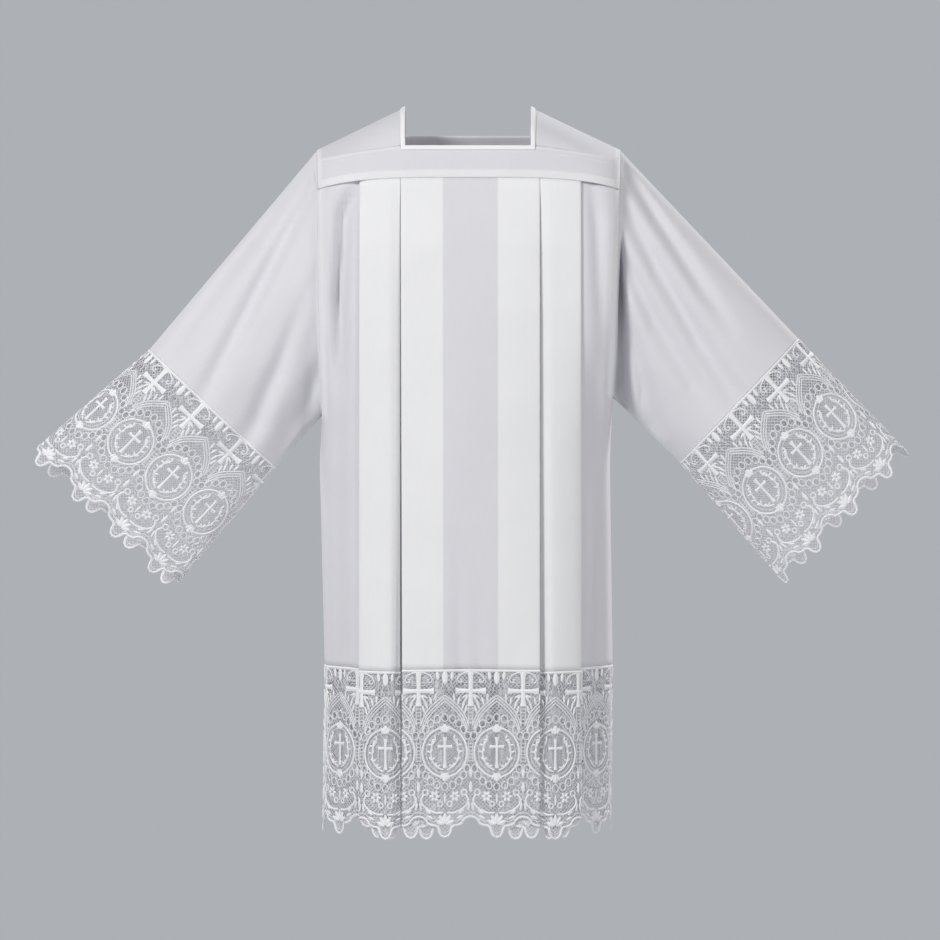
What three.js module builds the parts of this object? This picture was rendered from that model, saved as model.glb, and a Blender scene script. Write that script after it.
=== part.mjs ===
// A surplice: a pleated white body on a narrow square yoke, straight sleeves
// held out at about 45 degrees, and a deep scalloped lace at hem and cuffs.
// Millimetres, +Z up, the front faces -Y. The origin lies midway between the
// shoulders, level with the top of the neck opening, where the wearer holds it.
import * as THREE from 'three';

// ---------------------------------------------------------------------------
// Driving dimensions
// ---------------------------------------------------------------------------
const WALL = 1.2;               // thickness of the cloth
const SEAM_GAP = 0.3;           // between two pieces that are sewn together
const LAYER_STEP = 2.2;         // from one layer of a pleat to the next
const SECTION_POWER = 2.6;      // a little squarer than an ellipse

const NECK = { halfWidth: 91, frontZ: -58, backZ: -40, bindingWidth: 6 };
const YOKE = { upperEndZ: -84, lowerMidZ: -101, lowerEndZ: -119 };
const HEM_SEAM_Z = -810;        // where the hem lace is sewn on, at the sides
const UNDERARM_FADE = 330;      // over this height the armhole's width fades from the body
const PLEATED_HALF_WIDTH = 165; // outside this the body is plain and turns back

// How far the hollow body reaches forwards and backwards at its middle.
const BODY_DEPTH = [
  { z: 0, front: 58, back: 60 },
  { z: -58, front: 80, back: 84 },
  { z: -110, front: 102, back: 106 },
  { z: -200, front: 120, back: 124 },
  { z: -300, front: 128, back: 132 },
  { z: -440, front: 134, back: 136 },
  { z: HEM_SEAM_Z, front: 142, back: 144 },
  { z: -1070, front: 148, back: 150 },
];

// Where the side seams hang below the armholes.
const SIDE_SEAM = [
  { z: -400, left: 213, right: 210 },
  { z: -520, left: 216, right: 207 },
  { z: HEM_SEAM_Z, left: 209, right: 211 },
  { z: -1070, left: 212, right: 208 },
];

// Depth of the soft fold that drops from each end of the yoke.
const SIDE_FOLD = [
  { z: -119, depth: 3 },
  { z: -170, depth: 9 },
  { z: -290, depth: 8 },
  { z: -380, depth: 0 },
];

// Each armhole is an oval in a nearly upright plane.
const ARMHOLES = {
  left: { side: -1, topX: 220, topZ: -62, bottomX: 213, bottomZ: -446, halfDepth: 75 },
  right: { side: 1, topX: 222, topZ: -62, bottomX: 211, bottomZ: -420, halfDepth: 75 },
};

// Each sleeve from above: the ends of its lace seam and of its lace edge, as [x, z],
// and how far round from the top fold the first cross of the lace stands.
const SLEEVES = {
  left: {
    seamTop: [-463, -352], seamBottom: [-280, -523],
    endTop: [-641, -507], endBottom: [-432, -704], firstCross: 64,
  },
  right: {
    seamTop: [480, -336], seamBottom: [309, -516],
    endTop: [644, -506], endBottom: [463, -694], firstCross: 25,
  },
};

// The folds of the pleats, walked from a side seam to the middle: the x of each
// fold at the yoke and at the hem, the layer of cloth before and after it (0 is
// the outermost) and how much lower than the side seam the hem hangs there.
const PLEAT_FOLDS = [
  { fold: 'turned under the box', yoke: 129, hem: 129, before: 2, after: 1, drop: 4 },
  { fold: 'outer edge of the box', yoke: 155, hem: 155, before: 1, after: 0, drop: 6 },
  { fold: 'outer lip of the opening', yoke: 99, hem: 104, before: 0, after: 1, drop: 7 },
  { fold: 'back of the box', yoke: 125, hem: 125, before: 1, after: 2, drop: 7 },
  { fold: 'edge of the underlay', yoke: 36, hem: 36, before: 2, after: 1, drop: 6 },
  { fold: 'inner lip of the opening', yoke: 95, hem: 94, before: 1, after: 0, drop: 4 },
];
const MIDDLE_DROP = 3;
const RIGHT_PLEAT_SHIFT = 7;    // the right-hand pleats lie a little further out

// The lace: one repeat is a cross and an oval medallion.
const LACE = { repeat: 76, height: 242, hemCross: 4, cuffRepeats: 8 };
// Its lower edge over one repeat, from one valley to the next.
const SCALLOP = [
  { along: 0, height: 212 },
  { along: 9, height: 219 },
  { along: 22, height: 224 },
  { along: 29, height: 232 },
  { along: 33, height: 241 },
  { along: 43, height: 241 },
  { along: 47, height: 232 },
  { along: 54, height: 224 },
  { along: 67, height: 219 },
  { along: 76, height: 212 },
];
// The largest gaps of a repeat stand round the medallion like petals.
const PETALS = { centreHeight: 120, ringWidth: 34, ringHeight: 56, length: 12, width: 9 };
const PETAL_ANGLES = [-57, -20, 20, 57, 145, 180, 215];
const FOLD_CLEARANCE = 1.5;     // a gap keeps this far from a fold
const GRAZE = 0.5;              // nearer to a column than this, a point would make a sliver
const NO_AREA = 1e-9;

// Where a body panel is divided: down its height, in the plain side and across the pleats.
const PANEL_ROWS = [0, 0.06, 0.16, 0.3, 0.42, 0.475, 0.62, 0.8, 1];
const SIDE_COLUMNS = [1, 0.93, 0.76, 0.45];
const BODY_KNOTS = [0, 30, 58, 84, 118, 145, PLEATED_HALF_WIDTH];
const YOKE_STOPS = [NECK.halfWidth, 115, 140, PLEATED_HALF_WIDTH];
const OVER_STEPS = [0, 0.1, 0.2, 0.3, 0.4, 0.5, 0.6, 0.7, 0.8, 0.9, 1];
const RING_POINTS = 32;
const SLEEVE_STEPS = 7;
const FINE_STEPS = 720;         // for measuring round a ring
const SMALL_STEP = 1e-3;        // for measuring a surface's slope

// The largest folds of the sleeves. They run down from the shoulder: where they are
// round the sleeve (0 top fold, 1 bottom fold) at the armhole and at the lace seam.
const SLEEVE_FOLDS = {
  left: [
    { face: 'front', atArmhole: 0.22, atSeam: 0.34, width: 0.07, depth: 9 },
    { face: 'front', atArmhole: 0.62, atSeam: 0.68, width: 0.07, depth: 7 },
    { face: 'back', atArmhole: 0.3, atSeam: 0.42, width: 0.08, depth: 9 },
  ],
  right: [
    { face: 'front', atArmhole: 0.14, atSeam: 0.3, width: 0.07, depth: 8 },
    { face: 'front', atArmhole: 0.42, atSeam: 0.58, width: 0.08, depth: 9 },
    { face: 'back', atArmhole: 0.34, atSeam: 0.5, width: 0.08, depth: 9 },
  ],
};

// ---------------------------------------------------------------------------
// Materials
// ---------------------------------------------------------------------------
const linen = { color: 0xeeedf2, roughness: 0.9, metalness: 0 };
const finishes = {
  body: linen,
  sleeve: { ...linen, color: 0xedecf1 },
  yoke: { ...linen, color: 0xf2f1f5 },
  binding: { ...linen, color: 0xf8f7fa },
  lace: { color: 0xf4f3f6, roughness: 0.95, metalness: 0 },
};

// ---------------------------------------------------------------------------
// Small helpers
// ---------------------------------------------------------------------------
const { lerp, clamp, degToRad, smoothstep, euclideanModulo } = THREE.MathUtils;
const UP = new THREE.Vector3(0, 0, 1);

// Reads one named column of a table whose rows are sorted by the column `by`.
function readTable(table, by, value, column) {
  const falling = table[0][by] > table[table.length - 1][by];
  const reached = (row) => (falling ? row[by] <= value : row[by] >= value);
  const next = table.findIndex(reached);
  if (next === 0) return table[0][column];
  if (next < 0) return table[table.length - 1][column];
  const a = table[next - 1];
  const b = table[next];
  return lerp(a[column], b[column], (value - a[by]) / (b[by] - a[by]));
}

// The sideways direction, in the plane across `axis`, that keeps a wall its
// thickness where two stretches of a row meet.
function mitres(row, closed, axis) {
  const count = row.length;
  return row.map((point, i) => {
    const before = closed ? row[(i + count - 1) % count] : row[Math.max(i - 1, 0)];
    const after = closed ? row[(i + 1) % count] : row[Math.min(i + 1, count - 1)];
    const across = [[before, point], [point, after]].map(([p, q]) => (
      p.distanceTo(q) > 0 ? q.clone().sub(p).cross(axis).normalize() : null));
    const [a, b] = [across[0] ?? across[1], across[1] ?? across[0]];
    const middle = a.clone().add(b).normalize();
    return middle.divideScalar(middle.dot(a));
  });
}

// The two faces of a wall along a row: [outer, inner] point of each place.
function facesOfRow(row, closed, axis) {
  const across = mitres(row, closed, axis);
  return row.map((point, i) => [WALL / 2, -WALL / 2].map((d) => point.clone().addScaledVector(across[i], d)));
}

function signedVolume(points, triangles) {
  let sum = 0;
  for (const [a, b, c] of triangles) {
    sum += points[a].dot(points[b].clone().cross(points[c]));
  }
  return sum / 6;
}

function makeMesh(name, finish, points, triangles) {
  const inwards = signedVolume(points, triangles) < 0;
  const positions = [];
  for (const [a, b, c] of triangles) {
    for (const corner of inwards ? [a, c, b] : [a, b, c]) positions.push(...points[corner].toArray());
  }
  const geometry = new THREE.BufferGeometry();
  geometry.setAttribute('position', new THREE.Float32BufferAttribute(positions, 3));
  geometry.computeVertexNormals();
  const mesh = new THREE.Mesh(geometry, new THREE.MeshStandardMaterial(finishes[finish]));
  mesh.name = name;
  return mesh;
}

// A closed wall between two copies of one sheet of triangles: `outer` and `inner`
// hold the same vertices on the two faces, and each open edge gets a rim.
function wallFromSheet(name, finish, outer, inner, sheet) {
  const triangles = [];
  const edges = new Map();
  const shift = outer.length;
  for (const [a, b, c] of sheet) {
    triangles.push([a, b, c], [a + shift, c + shift, b + shift]);
    for (const [from, to] of [[a, b], [b, c], [c, a]]) {
      const opposite = `${to}:${from}`;
      if (edges.has(opposite)) edges.delete(opposite);
      else edges.set(`${from}:${to}`, [from, to]);
    }
  }
  for (const [from, to] of edges.values()) {
    triangles.push([to, from, from + shift], [to, from + shift, to + shift]);
  }
  return makeMesh(name, finish, [...outer, ...inner], triangles);
}

// The same from rows of [outer, inner] pairs, all of one length. All layers of a
// pleat are divided along the same diagonal, whichever way they run.
function wallFromRows(name, finish, rows, closed) {
  const columns = rows[0].length;
  const [outer, inner] = [0, 1].map((face) => rows.flat().map((pair) => pair[face]));
  const sheet = [];
  for (let j = 0; j + 1 < rows.length; j += 1) {
    for (let i = 0; i < (closed ? columns : columns - 1); i += 1) {
      const next = (i + 1) % columns;
      const [a, b] = [j * columns + i, j * columns + next];
      const [c, d] = [b + columns, a + columns];
      if (outer[a].x < outer[b].x) sheet.push([a, b, c], [a, c, d]);
      else sheet.push([a, b, d], [b, c, d]);
    }
  }
  return wallFromSheet(name, finish, outer, inner, sheet);
}

// ---------------------------------------------------------------------------
// The hollow form of the body
// ---------------------------------------------------------------------------
const FRONT = -1;
const BACK = 1;
const LEFT = -1;
const RIGHT = 1;

const armholeOf = (side) => (side === LEFT ? ARMHOLES.left : ARMHOLES.right);

// The armhole's x and half depth at a height.
function armholeAt(hole, z) {
  const middle = (hole.topZ + hole.bottomZ) / 2;
  const half = (hole.topZ - hole.bottomZ) / 2;
  const f = clamp((z - middle) / half, -1, 1);
  return { x: lerp(hole.bottomX, hole.topX, (f + 1) / 2), y: hole.halfDepth * Math.sqrt(1 - f * f) };
}

// Where a body panel ends at a height: at the armhole, and below it at the side seam.
function sideEdge(side, z) {
  const hole = armholeOf(side);
  const inset = (WALL + SEAM_GAP) / 2;
  if (z > hole.bottomZ) {
    const at = armholeAt(hole, z);
    return { x: at.x - inset, y: Math.max(at.y, SEAM_GAP / 2) };
  }
  const column = side === LEFT ? 'left' : 'right';
  const hang = readTable(SIDE_SEAM, 'z', z, column) - inset;
  const blend = clamp((hole.bottomZ - z) / 60, 0, 1);
  return { x: lerp(hole.bottomX - inset, hang, blend), y: SEAM_GAP / 2 };
}

// The depth from which the section swells. Below the middle of the armhole it
// fades slowly, so that the cloth hangs smoothly past the underarm.
function sectionStart(side, z) {
  const hole = armholeOf(side);
  const below = (hole.topZ + hole.bottomZ) / 2 - z;
  if (below < 0) return sideEdge(side, z).y;
  return hole.halfDepth * (1 - smoothstep(below, 0, UNDERARM_FADE));
}

function bodyDepth(face, x, z) {
  const side = x < 0 ? LEFT : RIGHT;
  const start = sectionStart(side, z);
  const middle = readTable(BODY_DEPTH, 'z', z, face === FRONT ? 'front' : 'back');
  const r = clamp(Math.abs(x) / sideEdge(side, z).x, 0, 1);
  const bulge = (1 - r ** SECTION_POWER) ** (1 / SECTION_POWER);
  return face * (start + (middle - start) * bulge);
}

// The same, straight between the knots, so that all layers of a pleat share its facets.
function facetedDepth(face, x, z) {
  const reach = Math.min(Math.abs(x), PLEATED_HALF_WIDTH);
  const next = Math.max(1, BODY_KNOTS.findIndex((knot) => knot >= reach));
  const [a, b] = [BODY_KNOTS[next - 1], BODY_KNOTS[next]];
  const side = x < 0 ? LEFT : RIGHT;
  const [ya, yb] = [a, b].map((knot) => bodyDepth(face, side * Math.max(knot, 1e-6), z));
  return lerp(ya, yb, (reach - a) / (b - a));
}

// Heights of the seams of the yoke at x.
function yokeUpperZ(face, x) {
  const neckZ = face === FRONT ? NECK.frontZ : NECK.backZ;
  const end = armholeAt(armholeOf(x < 0 ? LEFT : RIGHT), YOKE.upperEndZ).x;
  return lerp(neckZ, YOKE.upperEndZ, clamp((Math.abs(x) - NECK.halfWidth) / (end - NECK.halfWidth), 0, 1));
}

function yokeLowerZ(x) {
  const end = armholeAt(armholeOf(x < 0 ? LEFT : RIGHT), YOKE.lowerEndZ).x;
  return lerp(YOKE.lowerMidZ, YOKE.lowerEndZ, clamp(Math.abs(x) / end, 0, 1));
}

// ---------------------------------------------------------------------------
// The pleated columns of a body panel, from the left side seam to the right one
// ---------------------------------------------------------------------------
function halfColumns(face, side) {
  const columns = SIDE_COLUMNS.map((f) => ({ plain: f, drop: 0 }));
  // The back's pleats lie the other way round, as on a garment that is turned.
  const shift = side * -face === RIGHT ? RIGHT_PLEAT_SHIFT : 0;
  const knots = BODY_KNOTS.slice(1);
  let from = PLEATED_HALF_WIDTH;
  let drop = 0;
  const addKnots = (to, layer, dropTo) => {
    const between = knots.filter((k) => k > Math.min(from, to) + 1 && k < Math.max(from, to) - 1);
    if (to < from) between.reverse();
    const start = from;
    for (const k of between) {
      columns.push({ yoke: k, hem: k, layer, drop: lerp(drop, dropTo, (k - start) / (to - start)) });
    }
  };
  columns.push({ yoke: PLEATED_HALF_WIDTH, hem: PLEATED_HALF_WIDTH, layer: PLEAT_FOLDS[0].before, drop: 2 });
  for (const fold of PLEAT_FOLDS) {
    const [yoke, hem] = [fold.yoke + shift, fold.hem + shift];
    addKnots(yoke, fold.before, fold.drop);
    columns.push({ yoke, hem, layer: fold.before, drop: fold.drop });
    columns.push({ yoke, hem, layer: fold.after, drop: fold.drop });
    from = yoke;
    drop = fold.drop;
  }
  addKnots(0, 0, MIDDLE_DROP);
  return columns.map((column) => ({ ...column, side }));
}

function panelColumns(face) {
  const middle = { yoke: 0, hem: 0, layer: 0, drop: MIDDLE_DROP, side: RIGHT };
  const columns = [...halfColumns(face, LEFT), middle, ...halfColumns(face, RIGHT).reverse()];
  return columns.map((column, i) => {
    const next = columns[i + 1];
    const foldNext = next !== undefined && column.yoke === next.yoke && column.layer !== next.layer;
    return { ...column, foldNext };
  });
}

// A point of the middle of the cloth on one column.
function columnPoint(face, column, z) {
  const { side } = column;
  const edge = sideEdge(side, z);
  if (column.plain === 1) return new THREE.Vector3(side * edge.x, face * edge.y, z);
  if (column.plain !== undefined) {
    const x = lerp(PLEATED_HALF_WIDTH, edge.x, column.plain);
    const tuck = LAYER_STEP * PLEAT_FOLDS[0].before * (1 - column.plain);
    const inFold = column.plain === SIDE_COLUMNS[2] ? readTable(SIDE_FOLD, 'z', z, 'depth') : 0;
    return new THREE.Vector3(side * x, bodyDepth(face, side * x, z) - face * (tuck + inFold), z);
  }
  const t = clamp((YOKE.lowerMidZ - z) / (YOKE.lowerMidZ - HEM_SEAM_Z), 0, 1);
  const x = side * lerp(column.yoke, column.hem, t);
  return new THREE.Vector3(x, facetedDepth(face, x, z) - face * column.layer * LAYER_STEP, z);
}

const hemZ = (column) => HEM_SEAM_Z - column.drop;

function yokeSeamX({ side, yoke, plain }) {
  return side * (yoke ?? lerp(PLEATED_HALF_WIDTH, sideEdge(side, YOKE.lowerEndZ).x, plain));
}

function bodyPanel(name, face) {
  const columns = panelColumns(face);
  const rows = PANEL_ROWS.map((f) => {
    const row = columns.map((column) => {
      const top = yokeLowerZ(yokeSeamX(column)) - SEAM_GAP / 2;
      return columnPoint(face, column, lerp(top, hemZ(column) + SEAM_GAP / 2, f));
    });
    return facesOfRow(row, false, UP);
  });
  return wallFromRows(name, 'body', rows, false);
}

// ---------------------------------------------------------------------------
// The yoke: a band at front and back, and a piece over each shoulder
// ---------------------------------------------------------------------------
function yokeBand(name, face) {
  const half = [NECK.halfWidth / 2, ...YOKE_STOPS];
  const stops = [...half.map((x) => -x).reverse(), 0, ...half];
  const rows = [0, 0.5, 1].map((f) => {
    const at = (x) => {
      const z = lerp(yokeUpperZ(face, x) - SEAM_GAP / 2, yokeLowerZ(x) + SEAM_GAP / 2, f);
      return new THREE.Vector3(x, bodyDepth(face, x, z), z);
    };
    const endX = (side) => sideEdge(side, lerp(YOKE.upperEndZ, YOKE.lowerEndZ, f)).x;
    const plainX = (side) => SIDE_COLUMNS.map((plain) => side * lerp(PLEATED_HALF_WIDTH, endX(side), plain));
    const row = [...plainX(LEFT), ...stops, ...plainX(RIGHT).reverse()].map(at);
    return facesOfRow(row, false, UP);
  });
  return wallFromRows(name, 'yoke', rows, false);
}

// A shoulder piece, from the neck (across 0) to the armhole (across 1) and from
// the front seam (over 0) across the ridge (over 0.5) to the back seam (over 1).
function shoulderPoint(side, across, over) {
  const hole = armholeOf(side);
  const face = over < 0.5 ? FRONT : BACK;
  const fromRidge = Math.abs(over - 0.5) * 2;
  const lift = SEAM_GAP * 1.5;
  const seamZ = (x) => yokeUpperZ(face, side * x) + lift;
  const angle = (fromRidge * Math.PI) / 2;
  const neckX = NECK.halfWidth;
  const neckSeam = Math.abs(bodyDepth(face, side * neckX, seamZ(neckX)));
  const neck = new THREE.Vector3(side * neckX, face * neckSeam * Math.sin(angle),
    lerp(seamZ(neckX), 0, Math.cos(angle)));
  const middle = (hole.topZ + hole.bottomZ) / 2;
  const half = (hole.topZ - hole.bottomZ) / 2;
  const seamAngle = Math.acos((YOKE.upperEndZ + lift - middle) / half);
  const round = seamAngle * fromRidge;
  const ringZ = middle + half * Math.cos(round);
  const ringX = armholeAt(hole, ringZ).x - WALL / 2;
  const ring = new THREE.Vector3(side * ringX, face * hole.halfDepth * Math.sin(round), ringZ);
  const point = neck.lerp(ring, across);
  // Between its ends the seam follows the body's section, not a straight line.
  const reach = Math.abs(point.x);
  const seamDepth = Math.abs(bodyDepth(face, side * reach, seamZ(reach)));
  const straight = lerp(neckSeam, hole.halfDepth * Math.sin(seamAngle), across);
  point.y += face * (seamDepth - straight) * fromRidge ** 2;
  return point;
}

function shoulderPiece(name, side) {
  const endX = sideEdge(side, YOKE.upperEndZ).x;
  const stops = [...YOKE_STOPS, ...SIDE_COLUMNS.map((f) => lerp(PLEATED_HALF_WIDTH, endX, f)).reverse()];
  const acrossSteps = stops.map((x) => (x - NECK.halfWidth) / (endX - NECK.halfWidth));
  const rows = OVER_STEPS.map((over) => acrossSteps.map((across) => {
    const [a0, a1] = [Math.max(across - SMALL_STEP, 0), Math.min(across + SMALL_STEP, 1)];
    const [o0, o1] = [Math.max(over - SMALL_STEP, 0), Math.min(over + SMALL_STEP, 1)];
    const along = shoulderPoint(side, a1, over).sub(shoulderPoint(side, a0, over));
    const down = shoulderPoint(side, across, o1).sub(shoulderPoint(side, across, o0));
    const normal = along.cross(down).normalize();
    return [WALL / 2, -WALL / 2].map((d) => (
      shoulderPoint(side, across, over).addScaledVector(normal, side * d)));
  }));
  return wallFromRows(name, 'yoke', rows, false);
}

const NECK_INSIDE = new THREE.Vector3(0, 0, NECK.frontZ);

// The narrow binding lies on the yoke all round the square neck.
function neckBinding(name) {
  const width = NECK.bindingWidth;
  const pairs = [];
  const addBand = (face, steps) => {
    for (const f of steps) {
      const x = f * NECK.halfWidth;
      const topZ = (face === FRONT ? NECK.frontZ : NECK.backZ);
      const z = topZ - width;
      const outX = Math.abs(f) === 1 ? x + Math.sign(f) * width : x;
      pairs.push([
        new THREE.Vector3(x, bodyDepth(face, x, topZ), topZ),
        new THREE.Vector3(outX, bodyDepth(face, outX, z), z),
      ]);
    }
  };
  const addShoulder = (side, steps) => {
    const length = armholeOf(side).topX - NECK.halfWidth;
    for (const over of steps) {
      pairs.push([shoulderPoint(side, 0, over), shoulderPoint(side, width / length, over)]);
    }
  };
  const overSteps = OVER_STEPS.slice(1, -1);
  addBand(FRONT, [-1, -0.5, 0, 0.5, 1]);
  addShoulder(RIGHT, overSteps);
  addBand(BACK, [1, 0.5, 0, -0.5, -1]);
  addShoulder(LEFT, [...overSteps].reverse());
  const count = pairs.length;
  const lift = WALL * 1.5 + SEAM_GAP;
  const rings = pairs.map(([edge, out], i) => {
    const before = pairs[(i + count - 1) % count][0];
    const after = pairs[(i + 1) % count][0];
    const normal = out.clone().sub(edge).cross(after.clone().sub(before)).normalize();
    if (normal.dot(edge.clone().sub(NECK_INSIDE)) < 0) normal.negate();
    return [edge, out].map((p) => (
      [lift - WALL / 2, lift + WALL / 2].map((d) => p.clone().addScaledVector(normal, d))));
  });
  const sheet = [];
  for (let i = 0; i < count; i += 1) {
    const next = (i + 1) % count;
    sheet.push([2 * i, 2 * i + 1, 2 * next + 1], [2 * i, 2 * next + 1, 2 * next]);
  }
  const outer = rings.flatMap(([edge, out]) => [edge[1], out[1]]);
  const inner = rings.flatMap(([edge, out]) => [edge[0], out[0]]);
  return wallFromSheet(name, 'binding', outer, inner, sheet);
}

// ---------------------------------------------------------------------------
// Sleeves
// ---------------------------------------------------------------------------
// Half the depth of an ellipse of a given half width and girth.
function halfDepthFor(halfWidth, girth) {
  const around = (a, b) => Math.PI * (3 * (a + b) - Math.sqrt((3 * a + b) * (a + 3 * b)));
  let [low, high] = [1, halfWidth];
  for (let step = 0; step < 40; step += 1) {
    const middle = (low + high) / 2;
    if (around(halfWidth, middle) < girth) low = middle;
    else high = middle;
  }
  return low;
}

// A ring of evenly spaced points, from the top fold over the front and back round.
function ringPoints(top, bottom, halfDepth, count) {
  const centre = top.clone().add(bottom).divideScalar(2);
  const reach = top.clone().sub(centre);
  const at = (angle) => centre.clone().addScaledVector(reach, Math.cos(angle))
    .add(new THREE.Vector3(0, -halfDepth * Math.sin(angle), 0));
  const lengths = [0];
  for (let i = 1; i <= FINE_STEPS; i += 1) {
    const [p, q] = [i - 1, i].map((k) => at((2 * Math.PI * k) / FINE_STEPS));
    lengths.push(lengths[i - 1] + p.distanceTo(q));
  }
  return Array.from({ length: count }, (_, k) => {
    const target = (lengths[FINE_STEPS] * k) / count;
    const i = Math.max(1, lengths.findIndex((length) => length >= target));
    const f = (target - lengths[i - 1]) / (lengths[i] - lengths[i - 1]);
    return at((2 * Math.PI * (i - 1 + f)) / FINE_STEPS);
  });
}

const inSleevePlane = ([x, z]) => new THREE.Vector3(x, 0, z);
const cuffGirth = LACE.repeat * LACE.cuffRepeats;

function cuffRing(topXZ, bottomXZ, count) {
  const [top, bottom] = [inSleevePlane(topXZ), inSleevePlane(bottomXZ)];
  const depth = halfDepthFor(top.distanceTo(bottom) / 2, cuffGirth);
  return ringPoints(top, bottom, depth, count);
}

function armholeRing(hole, count) {
  const start = SEAM_GAP / 2;
  const top = new THREE.Vector3(hole.side * (hole.topX + start), 0, hole.topZ);
  const bottom = new THREE.Vector3(hole.side * (hole.bottomX + start), 0, hole.bottomZ);
  return ringPoints(top, bottom, hole.halfDepth, count);
}

// Square to the plane of a ring.
function ringAxis(ring) {
  return ring[0].clone().sub(ring[ring.length / 2]).cross(new THREE.Vector3(0, 1, 0)).normalize();
}

// How far the folds press in the cloth at a place round and along a sleeve.
function foldDepthAt(folds, ringShare, along) {
  const face = ringShare <= 0.5 ? 'front' : 'back';
  const down = ringShare <= 0.5 ? ringShare * 2 : (1 - ringShare) * 2;
  let depth = 0;
  for (const fold of folds.filter((f) => f.face === face)) {
    const offset = (down - lerp(fold.atArmhole, fold.atSeam, along)) / fold.width;
    depth += fold.depth * Math.exp(-offset * offset) * Math.sin(Math.PI * along);
  }
  return depth;
}

function sleeve(name, key) {
  const shape = SLEEVES[key];
  const start = armholeRing(ARMHOLES[key], RING_POINTS);
  const end = cuffRing(shape.seamTop, shape.seamBottom, RING_POINTS);
  const back = start[0].clone().sub(end[0]).normalize();
  end.forEach((p) => p.addScaledVector(back, SEAM_GAP / 2));
  const rows = [];
  for (let j = 0; j <= SLEEVE_STEPS; j += 1) {
    const along = j / SLEEVE_STEPS;
    const ring = start.map((p, i) => {
      const share = i / RING_POINTS;
      const point = p.clone().lerp(end[i], along);
      point.y += (share <= 0.5 ? 1 : -1) * foldDepthAt(SLEEVE_FOLDS[key], share, along);
      return point;
    });
    rows.push(facesOfRow(ring, true, ringAxis(ring)));
  }
  return wallFromRows(name, 'sleeve', rows, true);
}

// ---------------------------------------------------------------------------
// Lace
// ---------------------------------------------------------------------------
function scallopHeight(s, firstCross) {
  const along = euclideanModulo(s - firstCross, LACE.repeat);
  return readTable(SCALLOP, 'along', along, 'height');
}

// The petal gaps that lie between two places along the lace.
function petalsBetween(from, to, firstCross) {
  const petals = [];
  const first = Math.floor((from - firstCross) / LACE.repeat) - 1;
  const last = Math.ceil((to - firstCross) / LACE.repeat) + 1;
  for (let k = first; k <= last; k += 1) {
    const middle = firstCross + (k + 0.5) * LACE.repeat;
    for (const degrees of PETAL_ANGLES) {
      const angle = degToRad(degrees);
      const out = new THREE.Vector2(Math.sin(angle), -Math.cos(angle));
      const centre = new THREE.Vector2(middle + PETALS.ringWidth * out.x,
        PETALS.centreHeight + PETALS.ringHeight * out.y);
      const side = new THREE.Vector2(-out.y, out.x);
      petals.push([[0.5, 0], [0, 0.5], [-0.5, 0], [0, -0.5]].map(([a, b]) => centre.clone()
        .addScaledVector(out, a * PETALS.length).addScaledVector(side, b * PETALS.width)));
    }
  }
  return petals;
}

const spanOf = (petal) => [Math.min(...petal.map((p) => p.x)), Math.max(...petal.map((p) => p.x))];

// The part of a convex gap on one side of the line x = at (side 1 keeps x > at).
function clipPetal(petal, at, side) {
  const kept = [];
  petal.forEach((p, i) => {
    const q = petal[(i + 1) % petal.length];
    const [dp, dq] = [side * (p.x - at), side * (q.x - at)];
    if (dp > 0) kept.push(p);
    if (dp * dq < 0) kept.push(new THREE.Vector2(at, lerp(p.y, q.y, dp / (dp - dq))));
  });
  return kept;
}

// The outline of one strip of lace between two columns, with a notch where a gap
// crosses a column, and the gaps that lie wholly inside it.
function stripOutline(from, to, firstCross, petals) {
  const notch = (at, side) => petals.filter((p) => spanOf(p)[0] < at && spanOf(p)[1] > at)
    .map((petal) => {
      const part = clipPetal(petal, at, side);
      const onLine = part.map((p) => p.x === at);
      const start = part.findIndex((p, i) => onLine[i] && !onLine[(i + 1) % part.length]);
      const walk = part.map((_, k) => part[(start + k) % part.length]);
      return walk[0].y < walk[walk.length - 1].y ? walk : walk.reverse();
    })
    .sort((a, b) => a[0].y - b[0].y);
  const bottom = [];
  const first = Math.floor((from - firstCross) / LACE.repeat);
  const last = Math.floor((to - firstCross) / LACE.repeat);
  for (let k = first; k <= last; k += 1) {
    for (const { along, height } of SCALLOP.slice(0, -1)) {
      const s = firstCross + k * LACE.repeat + along;
      if (s > from + GRAZE && s < to - GRAZE) bottom.push(new THREE.Vector2(s, height));
    }
  }
  const contour = [
    new THREE.Vector2(from, 0),
    ...notch(from, 1).flat(),
    new THREE.Vector2(from, scallopHeight(from, firstCross)),
    ...bottom,
    new THREE.Vector2(to, scallopHeight(to, firstCross)),
    ...notch(to, -1).map((walk) => [...walk].reverse()).reverse().flat(),
    new THREE.Vector2(to, 0),
  ];
  const gaps = petals.filter((p) => spanOf(p)[0] >= from && spanOf(p)[1] <= to);
  return { contour, gaps };
}

// The petals that are cut: clear of the folds and of the two ends, not so near a
// column that they only graze it, and not across a strip narrower than a petal.
function openPetals(columns, folded, firstCross) {
  const strips = columns.slice(0, -1).map((c, i) => ({ from: c.s, to: columns[i + 1].s, fold: folded[i] }));
  const [start, end] = [columns[0].s, columns[columns.length - 1].s];
  return petalsBetween(start, end, firstCross).filter((petal) => {
    const [a, b] = spanOf(petal);
    const blocked = strips.some(({ from, to, fold }) => (fold
      ? b > from - FOLD_CLEARANCE && a < to + FOLD_CLEARANCE
      : a < from + GRAZE && b > to - GRAZE));
    const grazes = columns.some(({ s }) => Math.abs(s - a) < GRAZE || Math.abs(s - b) < GRAZE);
    return a > start + FOLD_CLEARANCE && b < end - FOLD_CLEARANCE && !grazes && !blocked;
  });
}

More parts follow.
